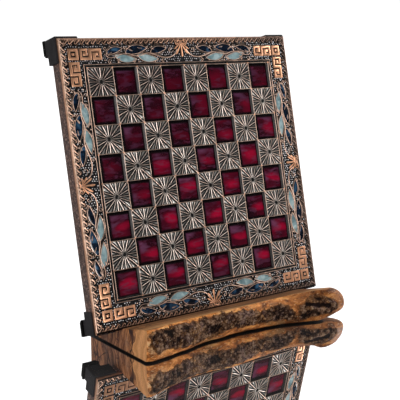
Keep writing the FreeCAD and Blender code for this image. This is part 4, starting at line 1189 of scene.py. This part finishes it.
def wood_mat(name, live_edge):
    """Solid wood: year rings round an axis along the block, pale sapwood outside, darker figure inside."""
    m, nt, b = new_mat(name)
    g = N(nt)
    co = g.coord()
    xyz = g.xyz(co)
    w1 = g.noise(g.mapping(co, scale=(0.45, 1, 1)), 26, 2, 0.55)
    w2 = g.noise(g.mapping(co, scale=(0.45, 1, 1), loc=(4, 1, 7)), 30, 2, 0.55)
    w3 = g.noise(g.mapping(co, scale=(0.3, 1, 1), loc=(1, 6, 2)), 95, 2, 0.5)
    dy = g.math("ADD", g.math("SUBTRACT", xyz[1], 0.060), g.math("MULTIPLY", g.math("SUBTRACT", w1, 0.5), 0.024))
    dz = g.math("ADD", g.math("SUBTRACT", xyz[2], 0.030), g.math("MULTIPLY", g.math("SUBTRACT", w2, 0.5), 0.024))
    rad = g.math("SQRT", g.math("ADD", g.math("MULTIPLY", dy, dy), g.math("MULTIPLY", dz, dz)))
    rad = g.math("ADD", g.math("SUBTRACT", rad, 0.040), g.math("MULTIPLY", g.math("SUBTRACT", w3, 0.5), 0.0060))
    band = g.node("ShaderNodeTexNoise", noise_dimensions="1D")
    g.link(g.math("MULTIPLY", rad, 1.0), band.inputs["W"])
    band.inputs["Scale"].default_value = 210
    band.inputs["Detail"].default_value = 3.0
    band = band.outputs[0]
    streak = g.noise(g.mapping(co, scale=(0.07, 1, 1)), 800, 3, 0.65)
    fibre = g.noise(g.mapping(co, scale=(0.04, 1, 1)), 2600, 3, 0.6)
    sap = g.remap(rad, 0.0640, 0.0665, 0.0, 1.0)
    heart_c = g.ramp(band, [(0.32, (0.20, 0.068, 0.024)), (0.48, (0.43, 0.170, 0.060)), (0.64, (0.64, 0.290, 0.110))])
    # painted shade: the heartwood is darker towards the back, where the board shades the sawn end
    painted_back_shade = g.remap(g.math("ADD", xyz[1], g.math("MULTIPLY", g.math("SUBTRACT", w3, 0.5), 0.02)), -0.044, -0.020, 0.0, 0.62)
    heart_c = g.mix(painted_back_shade, heart_c, g.ramp(band, [(0.35, (0.085, 0.030, 0.022)), (0.6, (0.26, 0.105, 0.060))]))
    sap_c = g.ramp(band, [(0.30, (0.52, 0.235, 0.088)), (0.62, (0.72, 0.345, 0.135))])
    col = g.mix(sap, heart_c, sap_c)
    # dark veins that follow the rings, strong inside and fading out towards the sapwood
    line = g.remap(g.math("ABSOLUTE", g.math("SUBTRACT", band, 0.47)), 0.0, 0.028, 1.0, 0.0)
    gate = g.math("MULTIPLY", g.remap(g.noise(g.mapping(co, loc=(2, 5, 1), scale=(0.5, 1, 1)), 30, 2, 0.6), 0.42, 0.56, 0.20, 1.0), g.remap(sap, 0.0, 1.0, 0.60, 0.05))
    col = g.mix(g.math("MULTIPLY", line, gate), col, (0.070, 0.022, 0.012))
    for r_v, w_v, k_v, lo_v in ((0.0648, 0.0011, 0.85, 0.30), (0.0515, 0.0016, 0.90, 0.42), (0.0420, 0.0012, 0.80, 0.46), (0.0335, 0.0018, 0.75, 0.40)):
        gate_v = g.remap(g.noise(g.mapping(co, scale=(0.4, 1, 1), loc=(r_v * 90, 2, 4)), 55, 2, 0.5), lo_v, lo_v + 0.10, 0.0, k_v)
        vein = g.remap(g.math("ABSOLUTE", g.math("SUBTRACT", rad, r_v)), 0.0, w_v, 1.0, 0.0)
        col = g.mix(g.math("MULTIPLY", vein, gate_v), col, (0.060, 0.016, 0.012))
    end = g.math("MULTIPLY", g.remap(xyz[0], -0.092, -0.078, 1.0, 0.0), g.remap(sap, 0.0, 1.0, 1.0, 0.12))
    crook = g.noise(g.mapping(co, scale=(0.6, 1.0, 0.42), loc=(2, 0, 3)), 60, 2, 0.5, 0.9)
    col = g.mix(g.math("MULTIPLY", g.remap(g.math("ABSOLUTE", g.math("SUBTRACT", crook, 0.50)), 0.010, 0.030, 0.97, 0.0), end), col, (0.016, 0.006, 0.007))
    crook2 = g.noise(g.mapping(co, scale=(0.6, 1.0, 0.35), loc=(7, 4, 1)), 85, 2, 0.5, 0.6)
    col = g.mix(g.math("MULTIPLY", g.remap(g.math("ABSOLUTE", g.math("SUBTRACT", crook2, 0.46)), 0.004, 0.016, 0.80, 0.0), end), col, (0.045, 0.014, 0.018))
    pale = g.noise(g.mapping(co, scale=(0.6, 1.0, 0.35), loc=(1, 9, 1)), 70, 2, 0.5, 0.6)
    col = g.mix(g.math("MULTIPLY", g.remap(pale, 0.54, 0.66, 0.0, 0.55), end), col, (0.42, 0.26, 0.17))
    blotch = g.noise(g.mapping(co, scale=(0.5, 1.4, 1.4), loc=(3, 0, 0)), 42, 4, 0.6)
    col = g.mix(g.math("MULTIPLY", g.remap(blotch, 0.50, 0.66, 0.0, 0.80), g.remap(sap, 0.0, 1.0, 1.0, 0.10)), col, (0.095, 0.034, 0.022))
    col = g.mix(g.remap(streak, 0.50, 0.75, 0.0, 0.45), col, (0.17, 0.070, 0.026))
    if live_edge:
        n5 = g.noise(g.mapping(co, scale=(0.35, 1, 1)), 130, 5, 0.68, 0.5)
        col = g.ramp(n5, [(0.32, (0.060, 0.018, 0.005)), (0.44, (0.24, 0.072, 0.016)), (0.54, (0.58, 0.190, 0.038)), (0.66, (0.95, 0.43, 0.12))])
        n6 = g.noise(g.mapping(co, loc=(9, 2, 2), scale=(0.25, 1, 1)), 300, 4, 0.7)
        col = g.mix(g.remap(n6, 0.55, 0.72, 0.0, 0.7), col, (0.075, 0.028, 0.010))
        n7 = g.noise(g.mapping(co, loc=(2, 7, 5), scale=(0.4, 1, 1)), 70, 3, 0.6)
        col = g.mix(g.math("MULTIPLY", g.remap(n7, 0.54, 0.68, 0.0, 0.65), g.remap(xyz[0], -0.02, 0.05, 1.0, 0.35)), col, (0.92, 0.50, 0.19))
        # painted highlight: pale cream patches near the front left corner
        n9 = g.noise(g.mapping(co, loc=(5, 1, 9), scale=(0.7, 1, 1)), 78, 3, 0.6)
        painted_corner_highlight = g.math("MULTIPLY", g.remap(xyz[0], -0.080, -0.098, 0.0, 1.0), g.remap(xyz[2], 0.030, 0.016, 0.35, 1.0))
        col = g.mix(g.math("MULTIPLY", g.remap(n9, 0.46, 0.62, 0.0, 0.75), painted_corner_highlight), col, (0.98, 0.62, 0.31))
        n8 = g.noise(g.mapping(co, loc=(4, 4, 5), scale=(0.6, 1, 1)), 620, 3, 0.6)
        col = g.mix(g.remap(n8, 0.56, 0.70, 0.0, 0.60), col, (0.11, 0.034, 0.009))
        col = g.mix(g.remap(n8, 0.42, 0.32, 0.0, 0.55), col, (0.92, 0.60, 0.30))
        # darker and browner towards the round end
        col = g.mix(g.remap(xyz[0], 0.03, 0.10, 0.0, 1.0), col, (0.66, 0.68, 0.76), "MULTIPLY")
    else:
        # long fine lines on the planed top
        flat = g.remap(g.xyz(g.node("ShaderNodeTexCoord").outputs["Normal"])[2], 0.80, 0.93)
        grain = g.noise(g.mapping(co, scale=(0.025, 1, 1), loc=(0, 3, 0)), 270, 3, 0.6)
        col = g.mix(g.math("MULTIPLY", flat, 0.30), col, (0.30, 0.175, 0.075))
        col = g.mix(g.math("MULTIPLY", g.remap(grain, 0.50, 0.60, 0.0, 0.75), flat), col, (0.075, 0.032, 0.016))
        col = g.mix(g.math("MULTIPLY", g.remap(grain, 0.44, 0.36, 0.0, 0.55), flat), col, (0.52, 0.33, 0.15))
    col = g.mix(g.remap(fibre, 0.52, 0.80, 0.0, 0.35), col, (0.14, 0.058, 0.022))
    # painted shade: near-black over the lowest millimetre, where the stand meets the floor
    low = g.remap(xyz[2], 0.0002, 0.0010, 1.0, 0.0)
    col = g.mix(low, col, (0.006, 0.003, 0.002))
    g.link(col, b.inputs["Base Color"])
    g.link(g.remap(streak, 0.3, 0.7, 0.42, 0.60), b.inputs["Roughness"])
    principled(b, spec=0.14, coat=0.0, coat_rough=0.3)
    nb = g.bump(fibre, 0.25, 0.0003, g.bump(streak, 0.3, 0.0004))
    if live_edge:
        nb = g.bump(n5, 0.6, 0.0012, g.bump(n6, 0.5, 0.0006, nb))
    g.link(nb, b.inputs["Normal"])
    return m


def bark_mat():
    m, nt, b = new_mat("rough_bark")
    g = N(nt)
    co = g.coord()
    att = g.node("ShaderNodeAttribute")
    att.attribute_name = "height"
    h = att.outputs["Fac"]
    n1 = g.noise(co, 330, 5, 0.72, 0.4)
    n2 = g.noise(g.mapping(co, loc=(3, 3, 1)), 75, 3, 0.6)
    v1 = g.voronoi(g.mapping(co, scale=(0.75, 1, 1.2)), 420)
    # colour follows height: darker in the crevices and paler on the ridges, partly the bark's own colour, partly
    # painted shade and painted highlight
    tone = g.math("ADD", g.math("MULTIPLY", h, 0.60), g.math("MULTIPLY", n1, 0.55))
    grey = g.ramp(tone, [(0.30, (0.006, 0.003, 0.002)), (0.48, (0.045, 0.021, 0.012)), (0.64, (0.130, 0.066, 0.038)), (0.84, (0.30, 0.175, 0.105))])
    brown = g.ramp(tone, [(0.30, (0.010, 0.004, 0.002)), (0.50, (0.085, 0.034, 0.013)), (0.68, (0.20, 0.092, 0.036)), (0.86, (0.46, 0.22, 0.075))])
    col = g.mix(g.remap(n2, 0.48, 0.62, 0.0, 0.9), grey, brown)
    lichen = g.math("MULTIPLY", g.remap(g.noise(g.mapping(co, loc=(7, 0, 4)), 260, 4, 0.72), 0.60, 0.68), g.remap(h, 0.3, 0.8))
    col = g.mix(lichen, col, (0.30, 0.25, 0.16))
    grit = g.noise(g.mapping(co, loc=(2, 6, 1)), 480, 3, 0.6)
    plum = g.noise(g.mapping(co, loc=(6, 2, 3)), 150, 2, 0.6)
    col = g.mix(g.remap(plum, 0.54, 0.66, 0.0, 0.55), col, g.ramp(tone, [(0.35, (0.018, 0.009, 0.010)), (0.8, (0.19, 0.115, 0.110))]))
    col = g.mix(g.remap(grit, 0.52, 0.66, 0.0, 0.7), col, (0.012, 0.006, 0.003))
    col = g.mix(g.math("MULTIPLY", g.remap(grit, 0.46, 0.36, 0.0, 0.60), g.remap(tone, 0.35, 0.7)), col, (0.40, 0.27, 0.19))
    e = g.node("ShaderNodeAttribute")
    e.attribute_name = "border"
    col = g.mix(g.math("MULTIPLY", e.outputs["Fac"], 0.8), col, g.ramp(n1, [(0.35, (0.06, 0.022, 0.008)), (0.65, (0.30, 0.125, 0.042))]))
    g.link(col, b.inputs["Base Color"])
    principled(b, rough=0.85, spec=0.08)
    g.link(g.bump(v1, 0.5, 0.0008, g.bump(n1, 0.9, 0.0012)), b.inputs["Normal"])
    return m


wood_cut = wood_mat("olive_wood_sawn", False)
wood_live = wood_mat("olive_wood_live_edge", True)
bark_m = bark_mat()

raw = stand.make("stand_raw", [wood_live, wood_cut], body="stand", matrix=Matrix.Identity(4))


def yz(vv, n):
    return vv * SIN - n * COS + Y0, SEAT_Z + vv * COS + n * SIN


v_top = (TOP_Z - SEAT_Z + (BT + GB) * SIN) / COS
prof = [yz(LIP, 90), yz(LIP, GF), yz(-GU, GF), yz(-GU, -BT - GB), yz(v_top, -BT - GB), (120.0, TOP_Z), (120.0, 90.0), (-130.0, 90.0)]
cut = Build()
cv = np.array([(x, y, z) for x in (-170.0, 190.0) for y, z in prof])
npf = len(prof)
cut.add(cv, [flip(grid_faces(2, npf, wrap_b=True)), np.arange(npf)[None], (np.arange(npf)[::-1] + npf)[None]])
cutter = cut.make("cutter", wood_cut, body="stand", matrix=Matrix.Identity(4), smooth=False)
for o in (raw, cutter):
    o.parent = None
    o.matrix_world = Matrix.Identity(4)
import bmesh
for o in (raw, cutter):
    bm = bmesh.new()
    bm.from_mesh(o.data)
    bmesh.ops.recalc_face_normals(bm, faces=bm.faces[:])
    bm.to_mesh(o.data)
    bm.free()
mod = raw.modifiers.new("notch", "BOOLEAN")
mod.operation = "DIFFERENCE"
mod.solver = "EXACT"
mod.object = cutter
bpy.context.view_layer.update()
dg = bpy.context.evaluated_depsgraph_get()
done = bpy.data.meshes.new_from_object(raw.evaluated_get(dg))
for o in (raw, cutter):
    bpy.data.objects.remove(o)
done.name = "stand_wood"
done.materials.clear()
done.materials.append(wood_live)
done.materials.append(wood_cut)
for p in done.polygons:
    c, nrm = p.center * 1000, p.normal
    sawn = (c.x < LEFT_X + 0.3 and nrm.x < -0.9) or (c.y > BACK_Y + Y0 - 0.9 and nrm.y > 0.15) or c.z < 0.05 or \
        (c.x < LEFT_X + 0.9 and nrm.x < -0.15 and c.y - Y0 > -20) or \
        abs(top_distance(c.x, c.y - Y0, c.z)) < 0.05 or len(p.vertices) > 6
    p.material_index = 1 if sawn else 0
    p.use_smooth = True
done.set_sharp_from_angle(angle=math.radians(38))
stand_o = bpy.data.objects.new("stand_wood", done)
bpy.context.scene.collection.objects.link(stand_o)
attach(stand_o, "stand")
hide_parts("stand_block")
print("stand faces", len(done.polygons))

# ------------------------------------------------------------------ bark
BARK_LEFT = [(-107.2, 18.0), (-105.6, 14.8), (-102.8, 12.3), (-100.0, 8.4), (-97.0, 7.0), (-93.5, 8.8), (-89.3, 10.3),
             (-81.8, 8.7), (-73.9, 6.0), (-66.1, 4.4), (-49.9, 4.6), (-30.9, 5.8), (-23.2, 5.6), (-15.7, 9.1), (-0.0, 9.3),
             (17.4, 6.9), (28.9, 7.9), (50.7, 5.9), (76.9, 3.8), (76.9, 6.0), (75.6, 11.6), (72.1, 16.4), (67.2, 20.3),
             (60.0, 22.4), (52.6, 22.9), (46.5, 22.6), (33.7, 20.8), (26.0, 23.4), (18.3, 24.8), (9.2, 25.9), (-0.2, 26.9),
             (-16.0, 27.0), (-27.3, 26.9), (-33.9, 26.6), (-43.2, 26.0), (-55.7, 26.7), (-68.8, 27.2), (-79.2, 28.4),
             (-92.9, 28.8), (-104.5, 28.9), (-107.2, 27.4)]
BARK_RIGHT = [(79.4, 12.3), (80.9, 17.6), (85.3, 20.4), (90.8, 22.6), (97.3, 24.6), (104.0, 25.4), (111.2, 24.8), (118.0, 22.4),
              (122.8, 18.9), (126.1, 13.8), (124.8, 9.6), (118.9, 6.6), (112.0, 5.9), (102.5, 6.0), (93.7, 5.2), (84.7, 4.0),
              (80.3, 4.0), (79.0, 7.9)]


def inside_distance(px, pz, poly):
    """Distance to the polygon's edge, positive inside."""
    poly = np.asarray(poly, float)
    best = np.full(px.shape, 1e9)
    ins = np.zeros(px.shape, bool)
    for a, b in zip(poly, np.roll(poly, -1, 0)):
        e = b - a
        t = np.clip(((px - a[0]) * e[0] + (pz - a[1]) * e[1]) / (e @ e), 0, 1)
        best = np.minimum(best, np.hypot(px - a[0] - t * e[0], pz - a[1] - t * e[1]))
        cross = (a[1] > pz) != (b[1] > pz)
        with np.errstate(divide="ignore", invalid="ignore"):
            xi = (b[0] - a[0]) * (pz - a[1]) / (b[1] - a[1]) + a[0]
        ins ^= cross & (px < xi)
    return np.where(ins, best, -best)


s_front = int(np.argmax(wall[12, :, 0] > 131.0))


def bark_piece(name, poly, node, seed, crack=None):
    """Rough shell that lies on the live edge, thick in the middle, thin and ragged at its border."""
    step = 0.55
    xs = np.arange(min(p[0] for p in poly) - 2, max(p[0] for p in poly) + 2, step)
    zs = np.arange(min(p[1] for p in poly) - 2, max(p[1] for p in poly) + 2, step)
    X, Z = np.meshgrid(xs, zs, indexing="ij")
    # wall position and plan normal at (x, z)
    Yw, NX, NY = np.zeros_like(X), np.zeros_like(X), np.zeros_like(X)
    for j, z in enumerate(zs):
        k = np.clip(np.searchsorted(ZS, z) - 1, 0, len(ZS) - 2)
        f = np.clip((z - ZS[k]) / (ZS[k + 1] - ZS[k]), 0, 1)
        w_ = wall[k, :s_front] * (1 - f) + wall[k + 1, :s_front] * f
        Yw[:, j] = np.interp(xs, w_[:, 0], w_[:, 1])
        o_ = OUT[k, :s_front]
        NX[:, j] = np.interp(xs, w_[:, 0], o_[:, 0])
        NY[:, j] = np.interp(xs, w_[:, 0], o_[:, 1])
    q = np.stack([X, Z, np.full_like(X, seed)], -1)
    sd = inside_distance(X, Z, poly) + 1.5 * fbm(q, 5.2, 4, seed, 0.6) + 0.5
    body = np.clip(sd / 3.6, 0, 1) ** 0.75
    qs = np.stack([X * 0.8, Z * 1.15, np.full_like(X, seed)], -1) + 0.9 * np.stack([noise3(q, 3.0, seed + 5), noise3(q, 3.0, seed + 6), np.zeros_like(X)], -1)
    d1, d2 = cells(qs, 4.4, seed)
    plates = np.clip((d2 - d1) * 2.3, 0, 1) ** 0.6
    e1, e2 = cells(qs, 1.7, seed + 40)
    small = np.clip((e2 - e1) * 2.0, 0, 1)
    rough = 0.75 * plates + 0.45 * small + 0.75 * fbm(q, 7.5, 4, seed + 60, 0.6) + 0.25 * noise3(q, 1.1, seed + 8)
    if crack is not None:
        cd = np.full(X.shape, 1e9)
        for a, b in zip(crack[:-1], crack[1:]):
            a, b = np.array(a, float), np.array(b, float)
            e = b - a
            t = np.clip(((X - a[0]) * e[0] + (Z - a[1]) * e[1]) / (e @ e), 0, 1)
            cd = np.minimum(cd, np.hypot(X - a[0] - t * e[0], Z - a[1] - t * e[1]))
        cd = cd + 0.9 * noise3(q, 3.2, seed + 9)
        rough = rough - 1.7 * np.exp(-(cd / (0.8 + 0.055 * np.clip(X - 88, 0, 20))) ** 2) + 0.40 * np.exp(-((cd - 3.8) / 1.7) ** 2)
    thick = body * (0.30 + 0.80 * rough)
    thick = np.clip(thick, -0.5, 2.8)
    thick = np.where(sd > 1.3, np.maximum(thick, 0.14), thick)
    hgt = np.clip(0.10 + 0.55 * rough, 0, 1)
    off = np.where(sd > 0, thick + 0.06, -0.9)
    px, py = X + NX * off, Yw + NY * off
    ok = sd > -0.25
    cellok = ok[:-1, :-1] & ok[1:, :-1] & ok[:-1, 1:] & ok[1:, 1:]
    nxn, nzn = X.shape
    f_all = grid_faces(nxn, nzn).reshape(nxn - 1, nzn - 1, 4)[cellok]
    front = np.stack([px, py + Y0, Z], -1).reshape(-1, 3)
    backp = np.stack([X - NX * 0.9, Yw - NY * 0.9 + Y0, Z], -1).reshape(-1, 3)
    used, inv = np.unique(f_all, return_inverse=True)
    inv = inv.reshape(-1, 4)
    nused = len(used)
    # rim between the front and the back sheet
    edges = np.concatenate([inv[:, [0, 1]], inv[:, [1, 2]], inv[:, [2, 3]], inv[:, [3, 0]]])
    key = np.sort(edges, 1)
    _, idx, cnt = np.unique(key, axis=0, return_index=True, return_counts=True)
    be = edges[idx[cnt == 1]]
    rimf = np.stack([be[:, 1], be[:, 0], be[:, 0] + nused, be[:, 1] + nused], 1)
    b = Build()
    b.add(np.concatenate([front[used], backp[used]]), [inv, flip(inv) + nused, rimf])
    o = b.make(name, bark_m, body="stand", slot="bark", matrix=Matrix.Identity(4), replaces=(node,))
    att = o.data.attributes.new("height", "FLOAT", "POINT")
    att.data.foreach_set("value", np.concatenate([hgt.ravel()[used], np.zeros(nused)]).astype(np.float32))
    att = o.data.attributes.new("border", "FLOAT", "POINT")
    brd = np.clip(1 - sd / 2.4, 0, 1)
    att.data.foreach_set("value", np.concatenate([brd.ravel()[used], np.ones(nused)]).astype(np.float32))
    print(name, "faces", len(o.data.polygons))
    return o


bark_piece("bark_patch_left", BARK_LEFT, "stand_bark_left", 11)
bark_piece("bark_patch_right", BARK_RIGHT, "stand_bark_right", 23, crack=[(84, 20.4), (96.5, 18), (108, 17), (113.0, 15.2)])

# ------------------------------------------------------------------ floor, light, camera
fm = bpy.data.materials.new("white_gloss_floor")
fm.use_nodes = True
nt = fm.node_tree
nt.nodes.clear()
g = N(nt)
out = g.node("ShaderNodeOutputMaterial")
diff = g.node("ShaderNodeBsdfDiffuse")
diff.inputs[0].default_value = (0.9, 0.9, 0.9, 1)
glo = g.node("ShaderNodeBsdfGlossy")
glo.inputs["Color"].default_value = (0.97, 0.97, 0.97, 1)
glo.inputs["Roughness"].default_value = 0.0
mx = g.node("ShaderNodeMixShader")
mx.inputs[0].default_value = 0.985
g.link(diff.outputs[0], mx.inputs[1])
g.link(glo.outputs[0], mx.inputs[2])
g.link(mx.outputs[0], out.inputs[0])
bm = bmesh.new()
bmesh.ops.create_circle(bm, cap_ends=True, cap_tris=False, segments=64, radius=14.0)
me = bpy.data.meshes.new("floor")
bm.to_mesh(me)
bm.free()
me.materials.append(fm)
floor = bpy.data.objects.new("floor", me)
floor.location = (0, 0, -0.0015)
bpy.context.scene.collection.objects.link(floor)

world = bpy.data.worlds.new("studio")
bpy.context.scene.world = world
world.use_nodes = True
nt = world.node_tree
nt.nodes.clear()
g = N(nt)
out = g.node("ShaderNodeOutputWorld")
white = g.node("ShaderNodeBackground")
white.inputs[0].default_value = (1, 1, 1, 1)
g.link(g.math("MULTIPLY_ADD", g.node("ShaderNodeLightPath").outputs["Is Singular Ray"], 0.35, 1.04), white.inputs[1])
soft = g.node("ShaderNodeBackground")
soft.inputs[1].default_value = 1.0
tc = g.node("ShaderNodeTexCoord").outputs["Generated"]
dx, dy_, dz_ = g.xyz(tc)
behind = g.remap(dy_, -0.15, 0.45, 0.0, 0.62)
above = g.remap(dz_, 0.60, 0.95, 0.0, 0.28)
leftward = g.remap(dx, -0.55, -0.95, 0.0, 0.22)
rightward = g.remap(dx, 0.86, 0.99, 0.0, 0.35)
lum = g.math("ADD", g.math("MAXIMUM", g.math("MAXIMUM", behind, above), g.math("MAXIMUM", leftward, rightward)), 0.018)
g.link(lum, soft.inputs[0])
lp = g.node("ShaderNodeLightPath")
first = g.math("MULTIPLY", g.math("LESS_THAN", lp.outputs["Diffuse Depth"], 0.5), g.math("LESS_THAN", lp.outputs["Glossy Depth"], 1.5))
fac = g.math("MAXIMUM", lp.outputs["Is Camera Ray"], g.math("MULTIPLY", lp.outputs["Is Singular Ray"], first))
mx = g.node("ShaderNodeMixShader")
g.link(fac, mx.inputs[0])
g.link(soft.outputs[0], mx.inputs[1])
g.link(white.outputs[0], mx.inputs[2])
g.link(mx.outputs[0], out.inputs[0])


def area(name, loc, target, size, power, size_y=None, color=(1, 1, 1)):
    L = bpy.data.lights.new(name, "AREA")
    L.shape = "RECTANGLE"
    L.size = size
    L.size_y = size_y or size
    L.energy = power
    L.color = color
    o = bpy.data.objects.new(name, L)
    o.location = loc
    o.rotation_mode = "QUATERNION"
    o.rotation_quaternion = (Vector(target) - Vector(loc)).to_track_quat("-Z", "Y")
    bpy.context.scene.collection.objects.link(o)
    return o


area("key_softbox", (1.34, -0.28, 0.60), (0, 0, 0.14), 0.6, 15.5, 0.8)
area("front_strip", (0.02, -1.62, 0.22), (0, 0, 0.12), 0.35, 5.5, 0.4)
area("left_softbox", (-1.35, -0.45, 0.50), (0, 0, 0.10), 0.6, 6.5, 0.8)
area("top_light", (0.1, 0.1, 1.7), (0, 0, 0.1), 1.0, 4, 0.7)

cam = bpy.data.cameras.new("camera")
cam.lens = 79.098
cam.sensor_width = 36.0
cam.clip_start, cam.clip_end = 0.05, 60
co_ = bpy.data.objects.new("camera", cam)
bpy.context.scene.collection.objects.link(co_)
co_.matrix_world = Matrix(((0.8149658, 0.1122952, -0.5685249, -0.5133097), (-0.5795072, 0.1604053, -0.7990253, -0.7153480),
                           (0.0014678, 0.9806426, 0.1958007, 0.3061942), (0, 0, 0, 1)))
bpy.context.scene.camera = co_
bpy.context.scene.view_settings.view_transform = "Standard"
